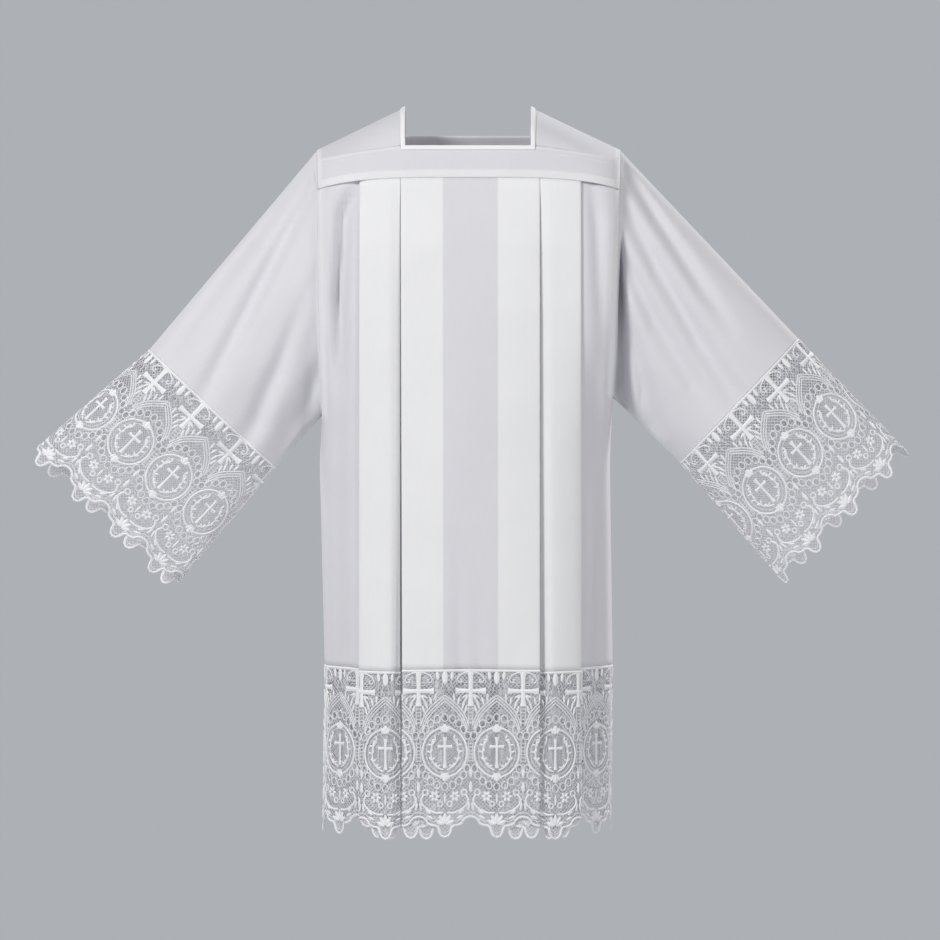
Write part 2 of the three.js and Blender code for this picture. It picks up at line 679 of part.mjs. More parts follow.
// A wall of lace. Each column has its place `s` along the flat lace and, for each
// face of the wall, a point on the seam and one at the full height below it.
// `folded[i]` says that the strip after column i is a fold, which keeps its cloth whole.
function laceWall(name, columns, folded, firstCross) {
  const outer = [];
  const inner = [];
  const sheet = [];
  const known = new Map();
  const petals = openPetals(columns, folded, firstCross);
  columns.slice(0, -1).forEach((column, i) => {
    const next = columns[i + 1];
    const { contour, gaps } = stripOutline(column.s, next.s, firstCross, petals);
    const vertexOf = (p) => {
      const key = `${p.x.toFixed(4)}:${p.y.toFixed(4)}`;
      if (known.has(key)) return known.get(key);
      const u = (p.x - column.s) / (next.s - column.s);
      const v = p.y / LACE.height;
      for (const [face, points] of [['outer', outer], ['inner', inner]]) {
        const seam = column[face][0].clone().lerp(next[face][0], u);
        points.push(seam.lerp(column[face][1].clone().lerp(next[face][1], u), v));
      }
      known.set(key, outer.length - 1);
      return outer.length - 1;
    };
    const corners = [...contour, ...gaps.flat()];
    for (const face of THREE.ShapeUtils.triangulateShape(contour, gaps)) {
      const [a, b, c] = face.map((k) => vertexOf(corners[k]));
      const area = THREE.ShapeUtils.area(face.map((k) => corners[k]));
      if (Math.abs(area) > NO_AREA) sheet.push(area > 0 ? [a, b, c] : [a, c, b]);
    }
  });
  return wallFromSheet(name, 'lace', outer, inner, sheet);
}

// Pairs a row along the seam with a row along the full depth of the lace.
function laceColumns(seam, edge, closed, axes, lengths) {
  const [seamFaces, edgeFaces] = [seam, edge].map((row, k) => facesOfRow(row, closed, axes[k]));
  return lengths.map((s, i) => {
    const k = i % seam.length;
    const [outer, inner] = [0, 1].map((face) => [seamFaces[k][face], edgeFaces[k][face]]);
    return { s, outer, inner };
  });
}

// The hem lace hangs in the same pleats as the panel above it.
function hemLace(name, face) {
  const columns = panelColumns(face);
  const seam = columns.map((column) => columnPoint(face, column, hemZ(column) - SEAM_GAP / 2));
  const edge = columns.map((column) => columnPoint(face, column, hemZ(column) - LACE.height));
  const lengths = [0];
  for (let i = 1; i < seam.length; i += 1) lengths.push(lengths[i - 1] + seam[i].distanceTo(seam[i - 1]));
  const middle = lengths[columns.findIndex((column) => column.yoke === 0)];
  const fromMiddle = lengths.map((length) => length - middle);
  const walls = laceColumns(seam, edge, false, [UP, UP], fromMiddle);
  return laceWall(name, walls, columns.map((column) => column.foldNext), LACE.hemCross);
}

// The cuff lace is a tube in two halves, parted along the sleeve's top and bottom folds.
function cuffLace(name, key, face) {
  const shape = SLEEVES[key];
  const seam = cuffRing(shape.seamTop, shape.seamBottom, RING_POINTS);
  const edge = cuffRing(shape.endTop, shape.endBottom, RING_POINTS);
  const along = edge[0].clone().sub(seam[0]).normalize();
  seam.forEach((p) => p.addScaledVector(along, SEAM_GAP / 2));
  const lengths = Array.from({ length: RING_POINTS + 1 }, (_, i) => (i * cuffGirth) / RING_POINTS);
  const whole = laceColumns(seam, edge, true, [seam, edge].map(ringAxis), lengths);
  const half = RING_POINTS / 2;
  const walls = face === FRONT ? whole.slice(0, half + 1) : whole.slice(half);
  const share = (SEAM_GAP * RING_POINTS) / (2 * cuffGirth);
  const trim = (end, neighbour) => {
    const drawn = (side) => end[side].map((p, k) => p.clone().lerp(neighbour[side][k], share));
    return { s: end.s, outer: drawn('outer'), inner: drawn('inner') };
  };
  const ends = [trim(walls[0], walls[1]), trim(walls[half], walls[half - 1])];
  const parted = [ends[0], ...walls.slice(1, -1), ends[1]];
  return laceWall(name, parted, parted.map(() => false), shape.firstCross);
}

// ---------------------------------------------------------------------------
// The garment
// ---------------------------------------------------------------------------
const surplice = new THREE.Group();
surplice.add(
  bodyPanel('front_panel', FRONT),
  bodyPanel('back_panel', BACK),
  yokeBand('front_yoke', FRONT),
  yokeBand('back_yoke', BACK),
  shoulderPiece('shoulder_left', LEFT),
  shoulderPiece('shoulder_right', RIGHT),
  neckBinding('neck_binding'),
  hemLace('hem_lace_front', FRONT),
  hemLace('hem_lace_back', BACK),
);
for (const key of ['left', 'right']) {
  surplice.add(
    sleeve(`sleeve_${key}`, key),
    cuffLace(`cuff_lace_${key}_front`, key, FRONT),
    cuffLace(`cuff_lace_${key}_back`, key, BACK),
  );
}

export default surplice;
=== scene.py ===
# %% [markdown]
# # A surplice of white cotton with a deep lace
# A surplice is a wide white over-garment. This one has a square neck, a narrow yoke, a body
# laid in box pleats and knife pleats, straight sleeves, and scalloped lace at hem and cuffs.
# The CAD frame has a plain wall for each sewn piece. Here each wall is replaced by cloth with
# soft creases, a weave and stitches, and by a lace that is really open. The frame stays where
# it is, so every piece is built from the same measures as the walls. A scan of a garment would
# be quicker, but it could not be cut, resized or studied piece by piece.

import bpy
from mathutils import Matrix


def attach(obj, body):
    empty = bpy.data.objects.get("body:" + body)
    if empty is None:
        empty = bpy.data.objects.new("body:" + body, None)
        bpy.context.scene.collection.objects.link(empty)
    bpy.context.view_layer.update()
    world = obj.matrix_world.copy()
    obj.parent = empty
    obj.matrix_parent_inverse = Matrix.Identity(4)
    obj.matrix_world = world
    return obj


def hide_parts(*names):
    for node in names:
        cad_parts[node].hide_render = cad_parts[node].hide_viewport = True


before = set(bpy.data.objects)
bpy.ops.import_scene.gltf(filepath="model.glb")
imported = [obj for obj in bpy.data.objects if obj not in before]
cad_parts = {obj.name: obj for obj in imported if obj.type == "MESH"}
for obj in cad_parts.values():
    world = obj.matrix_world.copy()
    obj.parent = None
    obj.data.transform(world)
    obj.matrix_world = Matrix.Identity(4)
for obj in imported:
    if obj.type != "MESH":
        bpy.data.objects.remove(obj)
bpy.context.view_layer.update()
print("CAD nodes:", len(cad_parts))

# %% Tools used all through
import math

import bmesh
import bpy
import numpy as np
from mathutils import Vector

MM = 0.001                    # the measures below are millimetres, Blender works in metres
FRONT, BACK = -1, 1           # which face of the body, and the sign of its depth
LEFT, RIGHT = -1, 1           # sides as seen from the front, and the sign of x
SIDES = ((LEFT, "left"), (RIGHT, "right"))


def read(table, column, at, along="z"):
    """Reads one named column of a table between its rows."""
    places = np.asarray(table[along], float)
    turn = -1 if places[0] > places[-1] else 1
    return np.interp(turn * np.asarray(at, float), turn * places, table[column])


def smooth(f):
    """A soft step from 0 to 1."""
    f = np.clip(f, 0, 1)
    return f * f * (3 - 2 * f)


def blend(a, b, f):
    return a + (b - a) * f


# %% [markdown]
# ## The hollow form of the body
# A worn garment is a tube: from above it is a rounded oblong, narrow from front to back.
# The form could be sculpted, but a few tables of heights are easier to read and to change.
# The oblong is a superellipse. Its half width comes from the armholes and side seams, and its
# depth from a table for the front and one for the back.

# %% Measures of the body
NECK = {"half_width": 91, FRONT: -58, BACK: -40, "binding": 6}
YOKE = {"upper_end": -77, "upper_bend": 1.35, "lower_middle": -102, "lower_end": -119, "lower_bend": 4}
HEM_SEAM = -810               # height of the seam where the hem lace is sewn on
SECTION_POWER = 2.6           # 2 is an ellipse; the larger it is, the squarer the oblong
SEAM_INSET = 0.75             # half a wall and half a seam gap
SEAM_DEPTH = 0.15             # the two panels stop this far before the middle plane
UNDERARM_FADE = 330           # over this height below the armhole's middle its depth fades away
PLEATED_HALF_WIDTH = 165
LAYER_STEP = 2.2              # from one layer of a pleat to the next

BODY_DEPTH = {
    "z": [0, -58, -110, -200, -300, -440, -810, -1070],
    FRONT: [58, 80, 102, 120, 128, 134, 142, 148],
    BACK: [60, 84, 106, 124, 132, 136, 144, 150],
}
SIDE_SEAM = {
    "z": [-400, -520, -810, -1070],
    LEFT: [213, 216, 209, 212],
    RIGHT: [210, 207, 211, 208],
}
ARMHOLES = {
    LEFT: {"top": (220, -62), "bottom": (213, -446)},
    RIGHT: {"top": (222, -62), "bottom": (211, -420)},
}
ARMHOLE_HALF_DEPTH = 75
SIDE_SEAM_BEGINS = 60         # over this height below the armhole the edge goes over to the side seam


# %% From the measures to a point of the body
def armhole_at(side, z):
    """The x of the armhole and its half depth at a height."""
    (top_x, top_z), (bottom_x, bottom_z) = ARMHOLES[side]["top"], ARMHOLES[side]["bottom"]
    f = np.clip((z - (top_z + bottom_z) / 2) / ((top_z - bottom_z) / 2), -1, 1)
    return blend(bottom_x, top_x, (f + 1) / 2), ARMHOLE_HALF_DEPTH * np.sqrt(1 - f * f)


def side_edge(side, z):
    """Where a panel ends at a height: at the armhole, and below it at the side seam."""
    bottom_x, bottom_z = ARMHOLES[side]["bottom"]
    x, y = armhole_at(side, z)
    hang = blend(bottom_x, read(SIDE_SEAM, side, z), np.clip((bottom_z - z) / SIDE_SEAM_BEGINS, 0, 1))
    under = z <= bottom_z
    return np.where(under, hang, x) - SEAM_INSET, np.where(under, SEAM_DEPTH, np.maximum(y, SEAM_DEPTH))


def section_start(side, z):
    """The depth from which the section swells, which fades below the underarm."""
    below = (ARMHOLES[side]["top"][1] + ARMHOLES[side]["bottom"][1]) / 2 - z
    faded = ARMHOLE_HALF_DEPTH * (1 - smooth(below / UNDERARM_FADE))
    return np.where(below < 0, side_edge(side, z)[1], faded)


def of_side(function, x, z):
    """A value that differs between the two sides, for points with the sign of x."""
    return np.where(x < 0, function(LEFT, z), function(RIGHT, z))


def body_depth(face, x, z):
    """How far the body stands out in front of or behind the middle plane, with its sign."""
    x, z = np.broadcast_arrays(np.asarray(x, float), np.asarray(z, float))
    edge = of_side(lambda side, at: side_edge(side, at)[0], x, z)
    start = of_side(section_start, x, z)
    bulge = (1 - np.clip(np.abs(x) / edge, 0, 1) ** SECTION_POWER) ** (1 / SECTION_POWER)
    return face * (start + (read(BODY_DEPTH, face, z) - start) * bulge)


def yoke_upper(face, x):
    """The height of the yoke's upper seam, which falls from the neck to the armhole."""
    end = of_side(lambda side, at: armhole_at(side, at)[0], x, np.full_like(x, YOKE["upper_end"]))
    share = np.clip((np.abs(x) - NECK["half_width"]) / (end - NECK["half_width"]), 0, 1)
    return blend(NECK[face], YOKE["upper_end"], share ** YOKE["upper_bend"])


def yoke_lower(x):
    """The height of the yoke's lower seam, from which the pleats hang; it bends down at its ends."""
    end = of_side(lambda side, at: armhole_at(side, at)[0], x, np.full_like(x, YOKE["lower_end"]))
    share = np.clip(np.abs(x) / end, 0, 1)
    return blend(YOKE["lower_middle"], YOKE["lower_end"], share ** YOKE["lower_bend"])


print("Half width at the hem:", side_edge(LEFT, np.array(HEM_SEAM))[0], "mm")

# %% [markdown]
# ## How the pleats are folded
# Each half of a panel is walked from its side seam to the middle. The cloth goes under a box,
# turns at its outer edge, comes back over it, turns into an opening, runs behind it and comes
# out again as the middle panel. A pleat could be bent with modifiers, but a fold is a simple
# rule: the sideways place of each fold at yoke and hem, and the layer before and after it.
# Each fold is a narrow half round, as ironed cotton has.

# %% The folds of the pleats
PLEAT_FOLDS = [  # from a side seam to the middle: places at the yoke, at the hem on the side whose
    # opening hangs wide and on the other side, layers before and after, and how low the hem hangs
    {"fold": "turned under the box", "yoke": 129, "wide": 129, "narrow": 129, "before": 2, "after": 1,
     "drop": 4},
    {"fold": "outer edge of the box", "yoke": 155, "wide": 156, "narrow": 155, "before": 1, "after": 0,
     "drop": 6},
    {"fold": "outer lip of the opening", "yoke": 98.4, "wide": 98.6, "narrow": 98.2, "before": 0,
     "after": 1, "drop": 7},
    {"fold": "back of the box", "yoke": 125, "wide": 125, "narrow": 125, "before": 1, "after": 2,
     "drop": 7},
    {"fold": "edge of the underlay", "yoke": 36, "wide": 35, "narrow": 37, "before": 2, "after": 1,
     "drop": 6},
    {"fold": "inner lip of the opening", "yoke": 95.6, "wide": 93.5, "narrow": 95.4, "before": 1,
     "after": 0, "drop": 4},
]
MIDDLE_DROP = 3
SIDE_DROP = 2
RIGHT_PLEAT_SHIFT = 7         # the right-hand pleats lie a little further out
COLUMN_STEP = 4.4             # width of one strip of the cloth's mesh
TURN_RADIUS = LAYER_STEP / 2
SIDE_TURN = 0.86              # from here on the plain side bends back to the side seam


def plain_side():
    """Strips from the side seam to the first pleat; `turn` is 0 at the seam and 1 on the front."""
    strips = []
    for angle in np.linspace(90, 0, 9):
        share = SIDE_TURN + (1 - SIDE_TURN) * math.sin(math.radians(angle))
        strips.append({"plain": share, "turn": math.cos(math.radians(angle))})
    for share in np.linspace(SIDE_TURN, 0, 9)[1:-1]:
        strips.append({"plain": share, "turn": 1})
    return [{"yoke": 0, "hem": 0, "layer": 0, "nose": 0, "drop": SIDE_DROP * (1 - s["plain"]), **s}
            for s in strips]


def pleated_strip(yoke, hem, layer, drop, nose=0):
    return {"plain": 0, "turn": 1, "yoke": yoke, "hem": hem, "layer": layer, "nose": nose, "drop": drop}


def fold_ends(face, side, fold):
    """The sideways place of a fold at the yoke and at the hem, for one side or an array of sides."""
    narrow = side * -face == RIGHT
    shift = np.where(narrow, RIGHT_PLEAT_SHIFT, 0)
    return fold["yoke"] + shift, np.where(narrow, fold["narrow"], fold["wide"]) + shift


def fold_place(face, side, name, z):
    """The sideways place of the named fold at a height."""
    fold = next(row for row in PLEAT_FOLDS if row["fold"] == name)
    return blend(*fold_ends(face, side, fold), hang_share(z))


def hang_share(z):
    """0 at the yoke, 1 at the hem seam and below."""
    return np.clip((YOKE["lower_middle"] - z) / (YOKE["lower_middle"] - HEM_SEAM), 0, 1)


def half_columns(face, side):
    """The strips of half a panel, from the side seam to the middle."""
    stations = [{"yoke": PLEATED_HALF_WIDTH, "hem": PLEATED_HALF_WIDTH, "drop": SIDE_DROP}]
    for fold in PLEAT_FOLDS:
        yoke, hem = fold_ends(face, side, fold)
        stations.append({"yoke": float(yoke), "hem": float(hem), "drop": fold["drop"]})
    stations.append({"yoke": 0, "hem": 0, "drop": MIDDLE_DROP})
    layers = [fold["before"] for fold in PLEAT_FOLDS] + [PLEAT_FOLDS[-1]["after"]]
    columns = plain_side()
    for i, layer in enumerate(layers):
        start, end = stations[i], stations[i + 1]
        count = max(2, round(abs(end["yoke"] - start["yoke"]) / COLUMN_STEP))
        for f in np.linspace(0, 1, count + 1):
            columns.append(pleated_strip(*(blend(start[key], end[key], f) for key in ("yoke", "hem")),
                                         layer, blend(start["drop"], end["drop"], f)))
        if i + 1 < len(layers):
            out = 1 if end["yoke"] > start["yoke"] else -1
            for angle in (45, 90, 135):
                turned = (1 - math.cos(math.radians(angle))) / 2
                nose = out * TURN_RADIUS * math.sin(math.radians(angle))
                columns.append(pleated_strip(end["yoke"], end["hem"],
                                             blend(layer, layers[i + 1], turned), end["drop"], nose))
    return [{**column, "side": side} for column in columns]


def panel_columns(face):
    """All strips of a panel from left to right, as one array for each property."""
    left, right = half_columns(face, LEFT), half_columns(face, RIGHT)
    columns = left + right[-2::-1]
    return {key: np.array([column[key] for column in columns], float) for key in columns[0]}


print("Strips across a panel:", len(panel_columns(FRONT)["plain"]))

# %% [markdown]
# ## Creases placed one by one
# Cotton that hangs shows a few soft troughs where it is pulled, and faint waves everywhere.
# A cloth simulation gives its own creases, which are never the same ones. Here each trough is
# a line of points down the cloth with a depth at each, blurred to its width, so that it can be
# put exactly where the garment has it. A few long sine waves do the rest.

# %% The creases of the body
CREASES = {  # z runs down the crease, x is its place, depth is how far it is pressed in
    FRONT: [
        {"z": [-112, -154, -280, -345, -430], "x": [-158, -179, -186, -186, -186],
         "depth": [4, 20, 26, 18, 4], "width": 9.5},
        {"z": [-116, -170, -260, -400], "x": [180, 187, 190, 196], "depth": [3, 10, 7, 0], "width": 9},
        {"z": [-330, -420, -560, -810, -1060], "x": [184, 186, 186, 185, 185],
         "depth": [0, 9, 12, 12, 12], "width": 14},
        {"z": [-430, -560, -810, -1060], "x": [-186, -189, -184, -186], "depth": [0, 3, 5, 5], "width": 12},
        {"z": [-640, -740, -810, -1060], "x": [-14, -13, -11, -9], "depth": [0, 2, 3.5, 4], "width": 8},
        {"z": [-690, -760, -810, -1060], "x": [14, 15, 17, 20], "depth": [0, 1.5, 2.5, 3], "width": 9},
        {"z": [-760, -810, -1060], "x": [-58, -58, -60], "depth": [0, 1.5, 3], "width": 10},
        {"z": [-760, -810, -1060], "x": [66, 66, 68], "depth": [0, 1.2, 3], "width": 11},
        {"z": [-800, -1060], "x": [-130, -132], "depth": [0, 2.5], "width": 10},
        {"z": [-800, -1060], "x": [132, 130], "depth": [0, 2], "width": 9},
    ],
    BACK: [
        {"z": [-112, -170, -290, -400], "x": [-182, -188, -190, -190], "depth": [2, 8, 7, 0], "width": 9},
        {"z": [-112, -160, -280, -380], "x": [178, 184, 188, 188], "depth": [2, 9, 6, 0], "width": 10},
        {"z": [-380, -560, -810, -1060], "x": [-185, -186, -184, -184],
         "depth": [0, 7, 9, 10], "width": 13},
        {"z": [-450, -600, -810, -1060], "x": [186, 187, 186, 186], "depth": [0, 5, 7, 7], "width": 12},
        {"z": [-600, -740, -810, -1060], "x": [20, 18, 17, 16], "depth": [0, 2.5, 3, 4], "width": 9},
        {"z": [-720, -810, -1060], "x": [-24, -22, -22], "depth": [0, 2, 3], "width": 8},
        {"z": [-760, -1060], "x": [62, 66], "depth": [0, 3], "width": 10},
        {"z": [-800, -1060], "x": [-66, -64], "depth": [0, 2.5], "width": 10},
    ],
}
WAVES = [  # faint waves: height in mm, then turns of a sine for each mm across and down, and a start
    {"height": 1.3, "across": 0.021, "down": 0.0042, "start": 0.7},
    {"height": 0.8, "across": -0.034, "down": 0.0061, "start": 2.1},
    {"height": 0.35, "across": 0.075, "down": -0.0057, "start": 4.4},
    {"height": 0.25, "across": 0.031, "down": 0.021, "start": 1.2},
]
WAVES_BEGIN = 150             # over this height below the yoke the waves come to their full height
OPENING_HOLLOW = {"z": [-110, -200, -500, -810, -1060], "depth": [0.5, 3, 8, 13, 15]}
OPENING_WIDTH = 6.5           # how wide that hollow is behind the opening, in mm
LIP_ROLL = {"z": [-110, -150, -300, -500, -700, -810, -1060], "depth": [0.5, 3, 6, 7, 10, 12, 10]}
LIP_REACH = 8.5               # how far out from the opening the cloth rolls in, in mm
LIP_STEP = 0.6                # the roll begins within this width, in the middle of the opening


def pressed_in(face, x, z):
    """How far the cloth is pressed inwards at a place, in mm, the same for all layers."""
    depth = np.zeros(np.broadcast(x, z).shape)
    for crease in CREASES[face]:
        offset = (x - read(crease, "x", z)) / crease["width"]
        depth = depth + read(crease, "depth", z) * np.exp(-offset * offset)
    hang = smooth((YOKE["lower_middle"] - z) / WAVES_BEGIN)
    for wave in WAVES:
        depth = depth + hang * wave["height"] * np.sin(wave["across"] * x + wave["down"] * z
                                                       + wave["start"] + face)
    return depth


def opening_hollow(face, side, x, z, layer):
    """Behind the opening of each pleat the innermost layer sinks back, so it lies in shade."""
    lips = [fold_place(face, side, f"{lip} lip of the opening", z) for lip in ("inner", "outer")]
    offset = (np.abs(x) - sum(lips) / 2) / OPENING_WIDTH
    return np.clip(layer - 1, 0, 1) * read(OPENING_HOLLOW, "depth", z) * np.exp(-offset * offset)


def lip_roll(face, side, x, z):
    """Outside the opening of a pleat all the layers roll in together, towards the outer lip."""
    inner, outer = (fold_place(face, side, f"{lip} lip of the opening", z) for lip in ("inner", "outer"))
    begun = smooth((np.abs(x) - (inner + outer) / 2) / LIP_STEP + 0.5)
    outwards = np.maximum(np.abs(x) - outer, 0) / LIP_REACH
    return begun * read(LIP_ROLL, "depth", z) * np.exp(-outwards * outwards)


def panel_points(face, columns, z):
    """A point of the cloth on every strip, for an array of heights with a column for each strip."""
    side, plain = columns["side"], columns["plain"]
    down = hang_share(z)
    edge_x, edge_y = (of_side(lambda s, at, k=k: side_edge(s, at)[k], side + 0 * z, z) for k in (0, 1))
    pleated_x = blend(columns["yoke"], columns["hem"], down) + columns["nose"]
    x = side * np.where(columns["yoke"] > 0, pleated_x, blend(PLEATED_HALF_WIDTH, edge_x, plain))
    x = np.where((columns["yoke"] == 0) & (plain == 0), 0, x)
    tuck = np.where(plain > 0, LAYER_STEP * 2 * (1 - plain), LAYER_STEP * columns["layer"])
    press = (pressed_in(face, x, z) + lip_roll(face, side, x, z)
             + opening_hollow(face, side, x, z, columns["layer"]))
    depth = np.abs(body_depth(face, x, z)) - tuck - press * columns["turn"]
    y = face * blend(edge_y, depth, columns["turn"])
    return np.stack([x, y, z + 0 * x], axis=-1)


# %% [markdown]
# ## From a grid of points to a piece of cloth
# Every cloth piece is a grid. Its UV map is the flat place of each point before sewing, in
# metres, so the weave keeps its real size on any shape. A number on each point says how many
# layers lie on one another, and the material turns it into painted shade: full where one layer
# hangs alone, none where three do. Solidify gives the cloth its thickness, and the result is
# kept as a plain mesh.

# %% Cloth helpers
CLOTH_THICKNESS = 0.5         # drawn a little thicker than the 0.3 mm of the cloth, to keep its edge


def bake(piece):
    """Turns a piece with modifiers into a plain mesh."""
    graph = bpy.context.evaluated_depsgraph_get()
    plain = bpy.data.meshes.new_from_object(piece.evaluated_get(graph), preserve_all_data_layers=True,
                                            depsgraph=graph)
    old = piece.data
    piece.modifiers.clear()
    piece.data = plain
    bpy.data.meshes.remove(old)
    plain.name = piece.name
    return piece


def link_mesh(name, mesh, material):
    mesh.materials.append(material)
    piece = bpy.data.objects.new(name, mesh)
    bpy.context.scene.collection.objects.link(piece)
    return piece


def grid_mesh(name, points, flat, closed=False, numbers=()):
    """A mesh of quads over a grid of points in mm, facing away from its own middle."""
    rows, columns = points.shape[:2]
    r, c = np.meshgrid(np.arange(rows - 1), np.arange(columns if closed else columns - 1), indexing="ij")
    nodes = [(r, c), (r + 1, c), (r + 1, c + 1), (r, c + 1)]
    quads = np.stack([i * columns + j % columns for i, j in nodes], axis=-1).reshape(-1, 4)
    corners = np.stack([flat[i, j] for i, j in nodes], axis=-2).reshape(-1, 4, 2)
    places = points.reshape(-1, 3)
    p = places[quads]
    facing = np.cross(p[:, 2] - p[:, 0], p[:, 3] - p[:, 1])
    if (facing * (p.mean(axis=1) - places.mean(axis=0))).sum() < 0:
        quads, corners = quads[:, ::-1], corners[:, ::-1]
    mesh = bpy.data.meshes.new(name)
    mesh.from_pydata((places * MM).tolist(), [], quads.tolist())
    mesh.uv_layers.new(name="flat").data.foreach_set("uv", (corners * MM).ravel())
    for key, values in dict(numbers).items():
        mesh.attributes.new(key, "FLOAT", "POINT").data.foreach_set("value", np.ravel(values))
    mesh.shade_smooth()
    return mesh


def make_cloth(name, points, flat, tone, material, closed=False):
    """A finished piece of cloth from a grid."""
    # the numbers on its points set the painted shade of one layer against three
    piece = link_mesh(name, grid_mesh(name, points, flat, closed, {"tone": tone}), material)
    thickness = piece.modifiers.new("thickness", "SOLIDIFY")
    thickness.thickness = CLOTH_THICKNESS * MM
    thickness.offset = 0
    bake(piece)
    print(name, "triangles:", sum(len(face.vertices) - 2 for face in piece.data.polygons))
    return piece


def along_rows(points, row=0):
    """Lengths along one row of a grid, which are the flat widths of its columns."""
    steps = np.linalg.norm(np.diff(points[row], axis=0), axis=1)
    return np.concatenate([[0], np.cumsum(steps)])


# %% [markdown]
# ## The finishes
# All of it is white cotton. The body is a fine plain weave, matt and a little sheer. Where one
# layer hangs alone its colour is painted dimmer and cooler than where three lie on one another:
# this is painted shade, for the shade inside that comes through a single layer. The lace is
# thicker mercerised thread with a soft shine. White things differ only in small steps, so these
# steps carry the look: painted shade by layers, a faint slub, the weave, and the sheen.

# %% Nodes and colours
def linear(hex_colour):
    """An sRGB hex colour as linear RGBA."""
    channels = [int(hex_colour[i:i + 2], 16) / 255 for i in (1, 3, 5)]
    return [c / 12.92 if c <= 0.04045 else ((c + 0.055) / 1.055) ** 2.4 for c in channels] + [1.0]


def add(tree, kind, sockets=None, **settings):
    """Adds a node, sets its properties, and fills its sockets with values or links."""
    made = tree.nodes.new(kind)
    for key, value in settings.items():
        setattr(made, key, value)
    for key, value in (sockets or {}).items():
        if isinstance(value, bpy.types.NodeSocket):
            tree.links.new(value, made.inputs[key])
        else:
            made.inputs[key].default_value = value
    return made


def new_material(name):
    material = bpy.data.materials.new(name)
    material.use_nodes = True
    material.node_tree.nodes.clear()
    return material


# %% Plain-woven cotton
WAVE_PERIOD = 2 * math.pi / 20      # a Wave Texture of scale 1 repeats after this length
THREAD_PITCH = 0.7 * MM             # real cotton lawn has 0.4 mm; drawn coarser so that it shows


def woven_cotton(name, one_layer_painted_shade, three_layers, roughness=0.85):
    """Fine plain-woven cotton: matt, with a faint grid of threads, uneven slubs, and painted shade where
    one layer hangs alone.
    """
    material = new_material(name)
    tree = material.node_tree
    flat = add(tree, "ShaderNodeUVMap", uv_map="flat").outputs["UV"]
    threads = [add(tree, "ShaderNodeTexWave", {"Vector": flat, "Scale": WAVE_PERIOD / THREAD_PITCH},
                   bands_direction=direction).outputs["Fac"] for direction in ("X", "Y")]
    weave = add(tree, "ShaderNodeMath", {0: threads[0], 1: threads[1]}, operation="MAXIMUM")
    long_way = add(tree, "ShaderNodeMapping", {"Vector": flat, "Scale": (900, 30, 1)})
    slubs = add(tree, "ShaderNodeTexNoise", {"Vector": long_way.outputs["Vector"], "Scale": 1.0,
                                             "Detail": 2.0})
    patches = add(tree, "ShaderNodeTexNoise", {"Vector": flat, "Scale": 14.0, "Detail": 3.0})
    # how far layers cover the shade: the colour of one layer carries painted shade, that of three layers
    # none
    layers = add(tree, "ShaderNodeAttribute", attribute_name="tone")
    colour = add(tree, "ShaderNodeMix", {"Factor": layers.outputs["Fac"], 6: linear(one_layer_painted_shade),
                                         7: linear(three_layers)}, data_type="RGBA")
    uneven = add(tree, "ShaderNodeMath", {0: slubs.outputs["Fac"], 1: patches.outputs["Fac"]},
                 operation="ADD")
    shade = add(tree, "ShaderNodeMapRange", {"Value": uneven.outputs[0], "From Min": 0.5, "From Max": 1.5,
                                             "To Min": 0.965, "To Max": 1.025})
    tinted = add(tree, "ShaderNodeVectorMath", {0: colour.outputs[2], "Scale": shade.outputs[0]},
                 operation="SCALE")
    bump = add(tree, "ShaderNodeBump", {"Height": weave.outputs[0], "Strength": 0.25,
                                        "Distance": 0.08 * MM})
    cotton = add(tree, "ShaderNodeBsdfPrincipled", {
        "Base Color": tinted.outputs[0], "Roughness": roughness, "IOR": 1.53, "Sheen Weight": 0.12,
        "Sheen Roughness": 0.4, "Normal": bump.outputs[0]})
    add(tree, "ShaderNodeOutputMaterial", {"Surface": cotton.outputs[0]})
    return material


# the first colour of each finish is one layer with painted shade, the second is three layers without it
body_cotton = woven_cotton("plain_woven_cotton", "#e4e3e8", "#f5f5f7")
yoke_cotton = woven_cotton("doubled_woven_cotton", "#e3e2e7", "#efeff2")
binding_cotton = woven_cotton("folded_cotton_edge", "#f7f7f9", "#fbfbfc", roughness=0.8)


# %% Lace thread
def lace_thread(name, colour, thin_painted_shade):
    """Mercerised cotton: glossier than cloth, twisted every 0.8 mm, with random blots, and with painted
    shade where it is thin.
    """
    material = new_material(name)
    tree = material.node_tree
    place = add(tree, "ShaderNodeTexCoord").outputs["Object"]
    twist = add(tree, "ShaderNodeTexWave", {"Vector": place, "Scale": WAVE_PERIOD / (0.8 * MM),
                                            "Distortion": 1.5}, bands_direction="DIAGONAL")
    blots = add(tree, "ShaderNodeTexNoise", {"Vector": place, "Scale": 90.0, "Detail": 2.0})
    thick = add(tree, "ShaderNodeAttribute", attribute_name="thick")
    # thin thread with few blots takes the full painted shade; random blots and thickness lighten it
    blots_and_thin_shade_mix = add(tree, "ShaderNodeMath", {0: blots.outputs["Fac"], 1: 0.35, 2: thick.outputs["Fac"]},
                   operation="MULTIPLY_ADD", use_clamp=True)
    mixed = add(tree, "ShaderNodeMix", {"Factor": blots_and_thin_shade_mix.outputs[0], 6: linear(thin_painted_shade),
                                        7: linear(colour)}, data_type="RGBA")
    bump = add(tree, "ShaderNodeBump", {"Height": twist.outputs["Fac"], "Strength": 0.3,
                                        "Distance": 0.1 * MM})
    thread = add(tree, "ShaderNodeBsdfPrincipled", {
        "Base Color": mixed.outputs[2], "Roughness": 0.62, "IOR": 1.53, "Sheen Weight": 0.1,
        "Normal": bump.outputs[0]})
    add(tree, "ShaderNodeOutputMaterial", {"Surface": thread.outputs[0]})
    return material


# the second colour is the painted shade of thin thread
thread_white = lace_thread("mercerised_lace_thread", "#fafafc", "#d4d4da")
print("Finishes:", [m.name for m in (body_cotton, yoke_cotton, binding_cotton, thread_white)])
